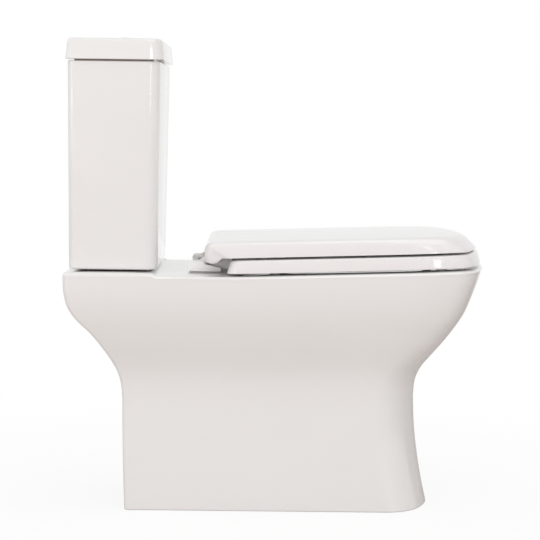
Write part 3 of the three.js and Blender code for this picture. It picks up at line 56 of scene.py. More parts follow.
# Pan
DECK_HEIGHT = 0.400
WAIST_HEIGHT = 0.186
WAIST_WIDTH = 0.214
WAIST_FRONT_INSET = 0.1135
WAIST_REAR_INSET = 0.094
FOOT_WIDTH = 0.231
FOOT_FRONT_REACH = 0.025
FOOT_REAR_TUCK = 0.005
FOOT_EDGE = 0.0015
RIM_WIDTH = PAN_HIGH.x - PAN_LOW.x
RIM_EDGE = 0.006
RIM_PLAN = {"bow": 0.029, "turn_in": 0.022, "turn_length": 0.12, "corner": 0.022, "rear_corner": 0.007}
FOOT_PLAN = {"bow": 0.038, "turn_in": 0.009, "turn_length": 0.046, "corner": 0.024, "rear_corner": 0.006}
FLARE_HEIGHT_SHARES = (0, 0.12, 0.22, 0.32, 0.43, 0.54, 0.64, 0.74, 0.84, 0.93, 1)
FLARE_FRONT_SHARES = (0, 0.025, 0.11, 0.27, 0.455, 0.615, 0.74, 0.825, 0.9, 0.963, 1)
FLARE_SIDE_SHARES = (0, 0.03, 0.1, 0.23, 0.41, 0.58, 0.725, 0.84, 0.92, 0.97, 1)
FLARE_REAR_SHARES = (0, 0.025, 0.085, 0.2, 0.36, 0.55, 0.77, 0.92, 0.98, 1, 1)
FOOT_HEIGHT_SHARES = (0, 0.24, 0.5, 0.75, 1)
FOOT_FLARE_SHARES = (1, 0.61, 0.287, 0.0825, 0)
SEAT_TILT = math.radians(1.95)
RIM_BEND = PAN_HIGH.y - 0.2915
PLATFORM_RISE = 0.0044
PLATFORM_RUN = 0.006
PLATFORM_FRONT = PAN_HIGH.y - 0.1455
PLATFORM_FADE = 0.024
PAN_WALL = 0.012
BACK_OPENING_HEIGHT = 0.33
BACK_OPENING_FRONT = PAN_HIGH.y - WAIST_REAR_INSET - 0.0075
DECK_INSET = RIM_EDGE * 0.9
DECK_PLAY = RIM_EDGE / 9

# Bowl and water trap
BOWL_LENGTH = 0.3
BOWL_WIDTH = 0.24
BOWL_MIDDLE = PAN_LOW.y + 0.0555 + BOWL_LENGTH / 2
BOWL_MOUTH_POWER = 2.8
BOWL_WALL_POWER = 2.5
BOWL_LIP_EDGE = 0.005
BOWL_RIM_DEPTH = 0.016
BOWL_LIP_DEPTH = 0.034
BOWL_UNDERCUT = 0.012
SUMP_MIDDLE = BOWL_MIDDLE + BOWL_LENGTH * 0.37
SUMP_HEIGHT = 0.074
SUMP_LENGTH = 0.052
SUMP_WIDTH = 0.048
SUMP_POWER = 2
BOWL_HEIGHT_SHARES = (0, 0.06, 0.19, 0.36, 0.53, 0.76, 1)
BOWL_SIZE_SHARES = (0, 0.1, 0.2, 0.37, 0.58, 0.84, 1)
BOWL_SHIFT_SHARES = (1, 0.97, 0.88, 0.66, 0.42, 0.16, 0)
BOWL_FOOT_SHARE = 0.34
TRAP_RADIUS = 0.035
TRAP_ROUND_STOP = 1.6
TRAP_NARROWING_POWER = 0.7
OUTLET_HEIGHT = 0.18
OUTLET_END = PAN_HIGH.y - 0.104
SPIGOT_RADIUS = 0.051
SPIGOT_LENGTH = 0.041
SPIGOT_FRONT_EDGE = 0.003
SPIGOT_END_EDGE = 0.002
TRAP_STOPS = (
    (-0.046, 0.128),
    (-0.014, 0.11),
    (0.022, 0.122),
    (0.048, 0.168),
    (0.076, 0.214),
    (0.12, 0.232),
    (0.164, 0.228),
    (0.196, 0.2),
    (0.222, 0.182),
)

# Flush passage and the lugs for the floor screws
VALVE_Y = (BEZEL_LOW.y + BEZEL_HIGH.y) / 2
CHANNEL_RADIUS = 0.038
CHANNEL_HEIGHT = DECK_HEIGHT - 0.055
CHANNEL_BEND = 0.008
CHANNEL_BEND_RUN = 0.05
CHANNEL_END = BOWL_MIDDLE + BOWL_LENGTH / 2 + 0.02
CUP_RADIUS = 0.058
CUP_FOOT_RADIUS = CUP_RADIUS * 0.8
CUP_SHOULDER = DECK_HEIGHT - 0.03
CUP_SLOPE = 0.012
LUG_SIZE = (0.033, 0.034, 0.028)
LUG_INSET = 0.009875
LUG_X = FOOT_WIDTH / 2 - LUG_INSET - LUG_SIZE[0] / 2
LUG_Y = OUTLET_END - LUG_SIZE[1] / 2
LUG_EDGE = 0.003

# Smoothness, as steps along each stretch
FRONT_STEPS = 12
CORNER_STEPS = 8
TURN_STEPS = 8
SIDE_STEPS = 14
REAR_CORNER_STEPS = 9
REAR_STEPS = 8
FLARE_STEPS = 34
FOOT_STEPS = 12
ROUND_STEPS = 5
BOWL_STEPS = 18
TRAP_STEPS = 3
TUBE_STEPS = 16
TUBE_CORNER_STEPS = 8
TURNED_STEPS = 64
HOLE_STEPS = 96
BOX_CORNER_STEPS = 8
DOME_STEPS = 8
EAR_STEPS = 14
COVER_STEPS = 30
CROWN_STEPS = 9
STATION_GAP = 1 / SIDE_STEPS / 3

# Angles, and limits for picking and merging parts of a mesh
QUARTER = math.pi / 2
FLAT_ANGLE = math.radians(1)
EDGE_ANGLE = math.radians(30)
STEEP_EDGE_ANGLE = math.radians(50)
SHARP_ANGLE = math.radians(38)
WELD = 0.00001
FACES_UP = 0.8
FACES_BACK = 0.5
FACES_ASIDE = 0.2


def mix(start, end, share):
    return start + (end - start) * share


def deselect():
    bpy.ops.object.select_all(action="DESELECT")


def only(piece):
    """Makes a piece the one that operators act on."""
    deselect()
    piece.hide_set(False)
    piece.select_set(True)
    bpy.context.view_layer.objects.active = piece


def smooth_share(places, shares, at):
    """The value at a place on a smooth curve through shares at given places."""
    if at <= places[0]:
        return shares[0]
    if at >= places[-1]:
        return shares[-1]
    i = max(k for k in range(len(places) - 1) if places[k] <= at)

    def slope(k):
        low, high = max(k - 1, 0), min(k + 1, len(places) - 1)
        return (shares[high] - shares[low]) / (places[high] - places[low])

    run = places[i + 1] - places[i]
    t = (at - places[i]) / run
    return (
        shares[i] * (2 * t**3 - 3 * t**2 + 1)
        + shares[i + 1] * (3 * t**2 - 2 * t**3)
        + slope(i) * run * (t**3 - 2 * t**2 + t)
        + slope(i + 1) * run * (t**3 - t**2)
    )


def quarter_turn(steps=ROUND_STEPS):
    """How far a round edge still is from its end along each of its two sides, step by step."""
    for i in range(steps + 1):
        angle = QUARTER * i / steps
        yield 1 - math.sin(angle), 1 - math.cos(angle)


# Plan outlines


def plan_outline(half, rear, front, plan, stations):
    """A straight back, straight sides that turn in towards the front, soft corners, a bowed front."""
    tip = half - plan["turn_in"]
    corner_y = front + plan["bow"]
    turn_start = corner_y + plan["turn_length"]
    corner = plan["corner"]
    rear_corner = plan["rear_corner"]

    def side_x(y):
        return half - plan["turn_in"] * ((turn_start - y) / plan["turn_length"]) ** 2

    def bowed(x):
        return front + plan["bow"] * (x / tip) ** 2

    right = []
    for i in range(FRONT_STEPS + 1):
        x = (tip - corner) * i / FRONT_STEPS
        right.append((x, bowed(x)))
    enter = Vector((tip - corner, bowed(tip - corner)))
    turn = Vector((tip, corner_y))
    leave = Vector((side_x(corner_y + corner), corner_y + corner))
    for i in range(1, CORNER_STEPS + 1):
        t = i / CORNER_STEPS
        right.append(tuple(enter * (1 - t) ** 2 + turn * 2 * t * (1 - t) + leave * t * t))
    for i in range(1, TURN_STEPS + 1):
        y = mix(leave.y, turn_start, i / TURN_STEPS)
        right.append((side_x(y), y))
    for share in stations:
        right.append((half, mix(turn_start, rear - rear_corner, share)))
    for before, inward in quarter_turn(REAR_CORNER_STEPS):
        right.append((half - rear_corner * inward, rear - rear_corner * before))
    for i in range(1, REAR_STEPS):
        right.append(((half - rear_corner) * (1 - i / REAR_STEPS), rear))
    left = [(-x, y) for x, y in reversed(right[1:])]
    return [*right, (0.0, rear), *left]


def at_level(outline, z):
    """An outline's points, all at one height."""
    return [Vector((x, y, z)) for x, y in outline]


def oval_outline(middle, half_length, half_width, power, toward):
    """A superellipse, with its points in the directions of another outline's points."""
    points = []
    for x, y in toward:
        angle = math.atan2(y - middle, x)
        across = abs(math.cos(angle) / half_width) ** power
        along = abs(math.sin(angle) / half_length) ** power
        reach = (across + along) ** (-1 / power)
        points.append((reach * math.cos(angle), middle + reach * math.sin(angle)))
    return points


# Pieces that grow loop by loop


def start_loop(name, places):
    """A new piece from a circle whose points are laid on a first outline. It stays in edit mode."""
    deselect()
    bpy.ops.mesh.primitive_circle_add(vertices=len(places), radius=1, location=(0, 0, 0))
    piece = bpy.context.object
    piece.name = piece.data.name = name
    bpy.ops.object.mode_set(mode="EDIT")
    bpy.ops.mesh.select_all(action="SELECT")
    mesh = bmesh.from_edit_mesh(piece.data)
    order = mesh.verts.layers.int.new("order")
    mesh.verts.ensure_lookup_table()
    for i, place in enumerate(places):
        mesh.verts[i].co = place
        mesh.verts[i][order] = i
    bmesh.update_edit_mesh(piece.data)
    return piece


def next_loop(piece, places):
    """Extrudes the selected edge loop and lays the new one on the next outline."""
    bpy.ops.mesh.extrude_edges_move()
    mesh = bmesh.from_edit_mesh(piece.data)
    order = mesh.verts.layers.int.get("order")
    for vert in mesh.verts:
        if vert.select:
            vert.co = places[vert[order]]
    bmesh.update_edit_mesh(piece.data)


def leave_edit(piece):
    """Turns the faces outwards, smooths the shading and goes back to object mode."""
    bpy.ops.mesh.select_all(action="SELECT")
    bpy.ops.mesh.remove_doubles(threshold=WELD)
    bpy.ops.mesh.normals_make_consistent(inside=False)
    bpy.ops.object.mode_set(mode="OBJECT")
    only(piece)
    bpy.ops.object.shade_smooth_by_angle(angle=SHARP_ANGLE)


def spin_round(piece, centre, axis):
    """Turns the loop of a piece in edit mode once round an axis."""
    bpy.ops.mesh.select_all(action="SELECT")
    bpy.ops.mesh.spin(steps=TURNED_STEPS, angle=2 * math.pi, center=centre, axis=axis)
    leave_edit(piece)


def turned(name, section):
    """A section of radius and height, turned about the flush valve's axis."""
    piece = start_loop(name, [Vector((r, VALVE_Y, z)) for r, z in section])
    spin_round(piece, (0, VALVE_Y, 0), (0, 0, 1))
    return piece


def modify(piece, kind, **settings):
    """Gives a piece a modifier with these settings, and applies it."""
    modifier = piece.modifiers.new(kind, kind)
    for name, value in settings.items():
        setattr(modifier, name, value)
    only(piece)
    bpy.ops.object.modifier_apply(modifier=modifier.name)


def select_faces(piece, test):
    """Selects, in edit mode, the faces that a test of their middle and normal picks."""
    bpy.ops.mesh.select_all(action="DESELECT")
    mesh = bmesh.from_edit_mesh(piece.data)
    for face in mesh.faces:
        if test(face.calc_center_median(), face.normal):
            face.select = True
    bmesh.update_edit_mesh(piece.data)


def round_edges(piece, width, segments=3, angle=EDGE_ANGLE):
    """Rounds every sharp edge of a piece."""
    modify(piece, "BEVEL", width=width, segments=segments, limit_method="ANGLE", angle_limit=angle)
    bpy.ops.object.shade_smooth_by_angle(angle=SHARP_ANGLE)


def eased_copy(node, edge):
    """A copy of a CAD node with its edges softly rounded, as moulded plastic has them."""
    source = frame["nodes"][node]
    piece = bpy.data.objects.new(node + "_eased", source.data.copy())
    bpy.context.scene.collection.objects.link(piece)
    only(piece)
    bpy.ops.object.mode_set(mode="EDIT")
    bpy.ops.mesh.select_all(action="SELECT")
    bpy.ops.mesh.remove_doubles(threshold=WELD)
    bpy.ops.mesh.dissolve_limited(angle_limit=FLAT_ANGLE)
    bpy.ops.object.mode_set(mode="OBJECT")
    round_edges(piece, edge)
    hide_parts(node)
    return piece


def fit(piece, body, material):
    """Gives a finished piece its body and its material."""
    piece.data.materials.clear()
    piece.data.materials.append(material)
    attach(piece, body)


# Pan


def deck_rise(y):
    """How far the deck stands above its rear part: the sloped rim, and the cistern's platform."""
    if y < RIM_BEND:
        return (RIM_BEND - y) * math.tan(SEAT_TILT)
    ramp = (y - (PLATFORM_FRONT - PLATFORM_RUN)) / PLATFORM_RUN
    return PLATFORM_RISE * min(max(ramp, 0), 1)


def lifted(x, y, z):
    """The rim's rise fades out down to the waist, and the platform's within the deck's edge."""
    fade = DECK_HEIGHT - WAIST_HEIGHT if y < RIM_BEND else PLATFORM_FADE
    share = min(max((z - DECK_HEIGHT + fade) / fade, 0), 1)
    return Vector((x, y, z + deck_rise(y) * share))


def side_stations():
    """Shares of the straight side, two of them at the platform's step."""
    start = PAN_LOW.y + RIM_PLAN["bow"] + RIM_PLAN["turn_length"]
    end = PAN_HIGH.y - RIM_PLAN["rear_corner"]
    step = [(y - start) / (end - start) for y in (PLATFORM_FRONT - PLATFORM_RUN, PLATFORM_FRONT)]
    even = [i / SIDE_STEPS for i in range(1, SIDE_STEPS)]
    clear = [share for share in even if all(abs(share - s) > STATION_GAP for s in step)]
    return sorted([*clear, *step])


def skirt_loop(front, side, rear, foot, inset, z, stations):
    """The pan's outline at a level, as shares of the flare and the foot."""
    half = mix(mix(WAIST_WIDTH, RIM_WIDTH, side), FOOT_WIDTH, foot) / 2 - inset
    back = PAN_HIGH.y - WAIST_REAR_INSET * (1 - rear) - FOOT_REAR_TUCK * foot - inset
    nose = PAN_LOW.y + WAIST_FRONT_INSET * (1 - front) - FOOT_FRONT_REACH * foot + inset
    plan = {key: mix(FOOT_PLAN[key], RIM_PLAN[key], side) for key in RIM_PLAN}
    return [lifted(x, y, z) for x, y in plan_outline(half, back, nose, plan, stations)]


def bowl_loop(share, toward):
    """The bowl's inside at a share of its height above the sump."""
    size = smooth_share(BOWL_HEIGHT_SHARES, BOWL_SIZE_SHARES, share)
    shift = smooth_share(BOWL_HEIGHT_SHARES, BOWL_SHIFT_SHARES, share)
    outline = oval_outline(
        mix(BOWL_MIDDLE, SUMP_MIDDLE, shift),
        mix(SUMP_LENGTH / 2, BOWL_LENGTH / 2 + BOWL_UNDERCUT, size),
        mix(SUMP_WIDTH / 2, BOWL_WIDTH / 2 + BOWL_UNDERCUT, size),
        mix(SUMP_POWER, BOWL_WALL_POWER, size),
        [(x, y + shift * (SUMP_MIDDLE - BOWL_MIDDLE)) for x, y in toward],
    )
    return at_level(outline, mix(SUMP_HEIGHT, DECK_HEIGHT - BOWL_LIP_DEPTH, share))


def trap_point(places, stops, at):
    ys = [stop.y for stop in stops]
    zs = [stop.z for stop in stops]
    return Vector((0, smooth_share(places, ys, at), smooth_share(places, zs, at)))


def trap_loops(first, toward):
    """Loops that carry the bowl's foot round the bends of the water trap to the outlet."""
    middle = sum(first, Vector()) / len(first)
    angles = [math.atan2(y - BOWL_MIDDLE, x) for x, y in toward]
    stops = [Vector((0, middle.y, middle.z))]
    stops += [Vector((0, y, z)) for y, z in TRAP_STOPS]
    stops.append(Vector((0, OUTLET_END, OUTLET_HEIGHT)))
    half_width = max(p.x for p in first)
    half_length = (max(p.y for p in first) - min(p.y for p in first)) / 2
    steps = (len(stops) - 1) * TRAP_STEPS
    places = list(range(len(stops)))
    nearby = 0.02
    for i in range(1, steps + 1):
        at = (len(stops) - 1) * i / steps
        here = trap_point(places, stops, at)
        ahead = trap_point(places, stops, at + nearby) - trap_point(places, stops, at - nearby)
        ahead.normalize()
        upward = Vector((0, -ahead.z, ahead.y))
        narrowing = min(at / TRAP_ROUND_STOP, 1) ** TRAP_NARROWING_POWER
        across = Vector((mix(half_width, TRAP_RADIUS, narrowing), 0, 0))
        along = upward * mix(half_length, TRAP_RADIUS, narrowing)
        yield [here + across * math.cos(a) + along * math.sin(a) for a in angles]


def foot_loops(stations):
    """The foot, from its lower edge up to the waist."""
    for i in range(FOOT_STEPS):
        z = mix(FOOT_EDGE, WAIST_HEIGHT, i / FOOT_STEPS)
        foot = smooth_share(FOOT_HEIGHT_SHARES, FOOT_FLARE_SHARES, z / WAIST_HEIGHT)
        yield skirt_loop(0, 0, 0, foot, 0, z, stations)


def flare_loops(stations):
    """The skirt's flare, from the waist up to where the rim's edge begins to round."""
    edge_start = 1 - RIM_EDGE / (DECK_HEIGHT - WAIST_HEIGHT)
    for i in range(FLARE_STEPS + 1):
        share = edge_start * i / FLARE_STEPS
        front, side, rear = (
            min(smooth_share(FLARE_HEIGHT_SHARES, shares, share), 1)
            for shares in (FLARE_FRONT_SHARES, FLARE_SIDE_SHARES, FLARE_REAR_SHARES)
        )
        yield skirt_loop(front, side, rear, 0, 0, mix(WAIST_HEIGHT, DECK_HEIGHT, share), stations)


def rim_loops(stations):
    """The rim's round edge, from the flare's last loop to the deck."""
    for down, inward in list(quarter_turn())[1:]:
        z = DECK_HEIGHT - RIM_EDGE * down
        yield skirt_loop(1, 1, 1, 0, RIM_EDGE * inward, z, stations)


def mouth_loop(grow, z, toward):
    """The bowl's mouth at a level, which follows the deck's rise near the top."""
    outline = oval_outline(
        BOWL_MIDDLE, BOWL_LENGTH / 2 + grow, BOWL_WIDTH / 2 + grow, BOWL_MOUTH_POWER, toward
    )
    fade = min(max((z - DECK_HEIGHT + BOWL_LIP_DEPTH) / BOWL_LIP_DEPTH, 0), 1)
    return [Vector((x, y, z + deck_rise(y) * fade)) for x, y in outline]


def mouth_loops(toward):
    """The lip round the bowl's mouth, and the undercut below it."""
    for outward, down in quarter_turn():
        yield mouth_loop(BOWL_LIP_EDGE * outward, DECK_HEIGHT - BOWL_LIP_EDGE * down, toward)
    yield mouth_loop(0, DECK_HEIGHT - BOWL_RIM_DEPTH, toward)
    yield mouth_loop(BOWL_UNDERCUT, DECK_HEIGHT - BOWL_LIP_DEPTH + BOWL_UNDERCUT / 2, toward)


def bowl_loops(toward):
    """The bowl's wall, and from its foot on the water trap."""
    for i in range(BOWL_STEPS + 1):
        last = bowl_loop(mix(1, BOWL_FOOT_SHARE, i / BOWL_STEPS), toward)
        yield last
    yield from trap_loops(last, toward)


def make_pan():
    """The pan as one glazed skin, from its foot up over the deck and down through bowl and trap."""
    stations = side_stations()
    toward = [(p.x, p.y) for p in skirt_loop(1, 1, 1, 0, 0, DECK_HEIGHT, stations)]
    pan = start_loop("pan_glazed", skirt_loop(0, 0, 0, 1, FOOT_EDGE, 0, stations))
    outside = (foot_loops(stations), flare_loops(stations), rim_loops(stations))
    for stretch in (*outside, mouth_loops(toward), bowl_loops(toward)):
        for places in stretch:
            next_loop(pan, places)
    step_deck(pan)
    open_back(pan)
    leave_edit(pan)
    modify(pan, "SOLIDIFY", thickness=PAN_WALL, offset=-1)
    bpy.ops.object.shade_smooth_by_angle(angle=SHARP_ANGLE)
    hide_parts("pan")
    return pan


def step_deck(pan):
    """Cuts the flat deck along the platform's step and the rim's bend, and lifts its new points."""

    def on_deck(middle, normal):
        level = abs(normal.z) > FACES_UP and middle.z > DECK_HEIGHT - DECK_PLAY
        return level and is_deck(middle)

    for y in (RIM_BEND, PLATFORM_FRONT - PLATFORM_RUN, PLATFORM_FRONT):
        select_faces(pan, on_deck)
        bpy.ops.mesh.bisect(plane_co=(0, y, 0), plane_no=(0, 1, 0))
        mesh = bmesh.from_edit_mesh(pan.data)
        for vert in mesh.verts:
            if vert.select:
                vert.co.z = DECK_HEIGHT + deck_rise(vert.co.y)
        bmesh.update_edit_mesh(pan.data)


def is_deck(middle):
    """Whether a face's middle lies between the rim's edge and the bowl's mouth."""
    in_rim = abs(middle.x) < RIM_WIDTH / 2 - DECK_INSET
    behind_bowl = middle.y > BOWL_MIDDLE + BOWL_LENGTH / 2 - BOWL_LIP_EDGE
    return in_rim and behind_bowl and middle.y < PAN_HIGH.y - DECK_INSET


def open_back(pan):
    """Takes away the back of the skirt below the tank's platform, as the casting has it."""

    def at_back(middle, normal):
        inside = middle.y > BACK_OPENING_FRONT and middle.z < BACK_OPENING_HEIGHT
        return inside and normal.y > FACES_BACK and abs(normal.x) < FACES_ASIDE

    select_faces(pan, at_back)
    bpy.ops.mesh.delete(type="FACE")


def make_spigot():
    """The thicker end of the outlet, which the soil pipe's connector grips."""
    start = OUTLET_END - SPIGOT_LENGTH
    section = [
        (TRAP_RADIUS, start),
        (SPIGOT_RADIUS - SPIGOT_FRONT_EDGE, start),
        (SPIGOT_RADIUS, start + SPIGOT_FRONT_EDGE),
        (SPIGOT_RADIUS, OUTLET_END - SPIGOT_END_EDGE),
        (SPIGOT_RADIUS - SPIGOT_END_EDGE, OUTLET_END),
        (TRAP_RADIUS, OUTLET_END),
    ]
    places = [Vector((0, y, OUTLET_HEIGHT + r)) for r, y in section]
    spigot = start_loop("pan_spigot", places)
    spin_round(spigot, (0, 0, OUTLET_HEIGHT), (0, 1, 0))
    return spigot


def make_tube(name, stops, radius):
    """A round passage through stops of y and z, with soft bends."""
    deselect()
    bpy.ops.curve.primitive_bezier_curve_add(location=(0, 0, 0))
    curve = bpy.context.object
    curve.name = name
    spline = curve.data.splines[0]
    spline.bezier_points.add(len(stops) - len(spline.bezier_points))
    for point, (y, z) in zip(spline.bezier_points, stops):
        point.co = (0, y, z)
        point.handle_left_type = point.handle_right_type = "AUTO"
    curve.data.bevel_depth = radius
    curve.data.bevel_resolution = TUBE_CORNER_STEPS
    curve.data.resolution_u = TUBE_STEPS
    curve.data.use_fill_caps = True
    only(curve)
    bpy.ops.object.convert(target="MESH")
    tube = bpy.context.object
    bpy.ops.object.shade_smooth_by_angle(angle=SHARP_ANGLE)
    return tube


def make_flush_passage():
    """The passage that takes the flush water from under the tank to the bowl's rim."""
    stops = [
        (VALVE_Y, CUP_SHOULDER),
        (VALVE_Y - CHANNEL_BEND, CHANNEL_HEIGHT + CHANNEL_BEND),
        (VALVE_Y - CHANNEL_BEND_RUN, CHANNEL_HEIGHT),
        (CHANNEL_END, CHANNEL_HEIGHT),
    ]
    passage = make_tube("pan_flush_passage", stops, CHANNEL_RADIUS)
    foot, top = CUP_SHOULDER - CUP_SLOPE, CUP_SHOULDER + CUP_SLOPE
    sides = [(CUP_FOOT_RADIUS, foot), (CUP_RADIUS, CUP_SHOULDER), (CUP_RADIUS, top)]
    return [passage, turned("pan_cup", [(0, foot), *sides, (0, top)])]


def make_lug(side):
    """The block inside the foot that takes a floor screw."""
    deselect()
    place = (side * LUG_X, LUG_Y, LUG_SIZE[2] / 2)
    bpy.ops.mesh.primitive_cube_add(size=1, location=place, scale=LUG_SIZE)
    lug = bpy.context.object
    lug.name = "pan_lug"
    bpy.ops.object.transform_apply(location=True, rotation=True, scale=True)
    round_edges(lug, LUG_EDGE)
    return lug


def join(pieces, name):
    """Joins finished pieces into the first one."""
    deselect()
    for piece in pieces:
        piece.select_set(True)
    bpy.context.view_layer.objects.active = pieces[0]
    bpy.ops.object.join()
    whole = bpy.context.object
    whole.name = whole.data.name = name
    return whole


# Tank and lid

TANK_BOTTOM_WIDTH = 0.308
TANK_BOTTOM_DEPTH = 0.145
TANK_WALL = 0.01
TANK_FLOOR = 0.012
TANK_FRONT_CORNER = 0.022
TANK_REAR_CORNER = 0.009
TANK_FOOT_EDGE = 0.005
TANK_TOP_EDGE = 0.001
SEATING_GAP = 0.0003
LID_TAPER = 0.003
LID_EDGE = 0.006
LID_FRONT_CORNER = 0.027
LID_REAR_CORNER = 0.007
LID_FOOT_EDGE = 0.0012
LID_BASE = LID_HIGH.z - 0.036
LID_FOOT_INSET = 0.0135
LID_FOOT_LEVEL = CISTERN_HIGH.z + SEATING_GAP
LID_LIP_INSET = 0.01625
LID_LIP_LEVEL = CISTERN_HIGH.z - 0.009
LID_LIP_WALL = 0.005
LID_THICKNESS = 0.009
LID_TOP = LID_HIGH.z - 0.0018
LID_FRONT_REACH = 0.0028
HOLE_PLAY = 0.0005


def box_outline(half, front, rear, front_corner, rear_corner):
    """A rectangle with round corners, from its front right corner round to its front left one."""
    points = []
    for side, end, radius, start in (
        (1, -1, front_corner, -QUARTER),
        (1, 1, rear_corner, 0),
        (-1, 1, rear_corner, QUARTER),
        (-1, -1, front_corner, 2 * QUARTER),
    ):
        x = side * (half - radius)
        y = front + radius if end < 0 else rear - radius
        for i in range(BOX_CORNER_STEPS + 1):
            angle = start + QUARTER * i / BOX_CORNER_STEPS
            points.append((x + radius * math.cos(angle), y + radius * math.sin(angle)))
    return points


def lofted(name, loops):
    """A closed piece through loops of one count, capped at both ends."""
    piece = start_loop(name, loops[0])
    bpy.ops.mesh.edge_face_add()
    for places in loops[1:]:
        next_loop(piece, places)
    bpy.ops.mesh.edge_face_add()
    leave_edit(piece)
    return piece


def cut_round_hole(piece, middle, radius, depth):
    """A round hole cut by a cylinder, which is deleted again."""
    deselect()
    bpy.ops.mesh.primitive_cylinder_add(
        vertices=HOLE_STEPS, radius=radius, depth=depth, location=middle
    )
    cutter = bpy.context.object
    modify(piece, "BOOLEAN", operation="DIFFERENCE", solver="EXACT", object=cutter)
    deselect()
    cutter.select_set(True)
    bpy.ops.object.delete()


def tank_loop(z, inset):
    """The tank's outline at a height, which narrows towards the foot."""
    share = (z - CISTERN_LOW.z) / (CISTERN_HIGH.z - CISTERN_LOW.z)
    half = mix(TANK_BOTTOM_WIDTH, CISTERN_HIGH.x - CISTERN_LOW.x, share) / 2 - inset
    front = CISTERN_HIGH.y - mix(TANK_BOTTOM_DEPTH, CISTERN_HIGH.y - CISTERN_LOW.y, share) + inset
    outline = box_outline(
        half,
        front,
        CISTERN_HIGH.y - inset,
        max(TANK_FRONT_CORNER - inset, TANK_FOOT_EDGE),
        max(TANK_REAR_CORNER - inset, TANK_FOOT_EDGE / 2),
    )
    return at_level(outline, z)


def make_tank():
    """The cistern: an open box that narrows to its foot, with rounded uprights and foot."""
    top, base = CISTERN_HIGH.z, CISTERN_LOW.z
    loops = [
        tank_loop(base + TANK_FLOOR, TANK_WALL + TANK_FOOT_EDGE),
        tank_loop(base + TANK_FLOOR + TANK_FOOT_EDGE, TANK_WALL),
        tank_loop(top - TANK_TOP_EDGE, TANK_WALL),
        tank_loop(top, TANK_WALL - TANK_TOP_EDGE),
        tank_loop(top, TANK_TOP_EDGE),
        tank_loop(top - TANK_TOP_EDGE, 0),
    ]
    for up, inward in quarter_turn():
        loops.append(tank_loop(base + TANK_FOOT_EDGE * up, TANK_FOOT_EDGE * inward))
    tank = lofted("cistern_glazed", loops)
    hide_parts("cistern")
    return tank


def lid_loop(z, inset, reach=0):
    """An outline of the lid at one height; the reach brings its front side forward."""
    outline = box_outline(
        LID_HIGH.x - inset,
        LID_LOW.y + inset - reach,
        LID_HIGH.y - inset,
        max(LID_FRONT_CORNER - inset, LID_FOOT_EDGE * 2),
        max(LID_REAR_CORNER - inset / 2, LID_FOOT_EDGE * 2),
    )
    return at_level(outline, z)


def make_lid():
    """The lid: a shallow hollow cap, with a foot and a lip below that keep it on the tank."""
    ceiling = LID_TOP - LID_THICKNESS
    lip = LID_LIP_INSET + LID_LIP_WALL
    loops = [
        lid_loop(ceiling, lip + LID_EDGE),
        lid_loop(ceiling - LID_EDGE, lip),
        lid_loop(LID_LIP_LEVEL, lip),
        lid_loop(LID_LIP_LEVEL, LID_LIP_INSET),
        lid_loop(LID_FOOT_LEVEL, LID_LIP_INSET),
        lid_loop(LID_FOOT_LEVEL, LID_FOOT_INSET),
        lid_loop(LID_BASE, LID_FOOT_INSET),
        lid_loop(LID_BASE, LID_FOOT_EDGE, LID_FRONT_REACH),
        lid_loop(LID_BASE + LID_FOOT_EDGE, 0, LID_FRONT_REACH),
    ]
    for down, inward in quarter_turn():
        inset = LID_TAPER + LID_EDGE * inward
        loops.append(lid_loop(LID_TOP - LID_EDGE * down, inset, LID_FRONT_REACH))
    lid = lofted("lid_glazed", loops)
    cut_round_hole(lid, (0, VALVE_Y, LID_TOP), SLEEVE_RADIUS + HOLE_PLAY, LID_THICKNESS * 3)
    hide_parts("cistern_lid")
    return lid


# Flush button

BUTTON_LOW, BUTTON_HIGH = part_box("full_flush_button")
BEZEL_RADIUS = (BEZEL_HIGH.x - BEZEL_LOW.x) / 2
BEZEL_FLANGE = 0.0016
BEZEL_LEAN = BEZEL_FLANGE * 0.15
BEZEL_SLOPE = BEZEL_FLANGE * 0.6
BEZEL_MOUTH_EDGE = BEZEL_FLANGE * 0.3
BEZEL_MOUTH_DEPTH = BEZEL_FLANGE * 0.4
SLEEVE_RADIUS = 0.021
SLEEVE_BORE = 0.0192
BUTTON_RADIUS = 0.0187
BUTTON_DOME = 0.004
BUTTON_HEIGHT = 0.011
BUTTON_EDGE = 0.0005
DOME_POWER = 2.2


def make_bezel():
    """The ring round the buttons: a low flange on the lid, and a sleeve down through its hole."""
    base = LID_TOP + SEATING_GAP
    bezel = turned(
        "bezel_chrome",
        [
            (SLEEVE_BORE, BEZEL_LOW.z),
            (SLEEVE_RADIUS, BEZEL_LOW.z),
            (SLEEVE_RADIUS, base),
            (BEZEL_RADIUS, base),
            (BEZEL_RADIUS - BEZEL_LEAN, base + BEZEL_FLANGE / 2),
            (BEZEL_RADIUS - BEZEL_SLOPE, base + BEZEL_FLANGE),
            (SLEEVE_BORE + BEZEL_FLANGE, BEZEL_HIGH.z),
            (SLEEVE_BORE + BEZEL_MOUTH_EDGE, BEZEL_HIGH.z - BEZEL_LEAN),
            (SLEEVE_BORE, BEZEL_HIGH.z - BEZEL_MOUTH_DEPTH),
        ],
    )
    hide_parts("button_bezel")
    return bezel


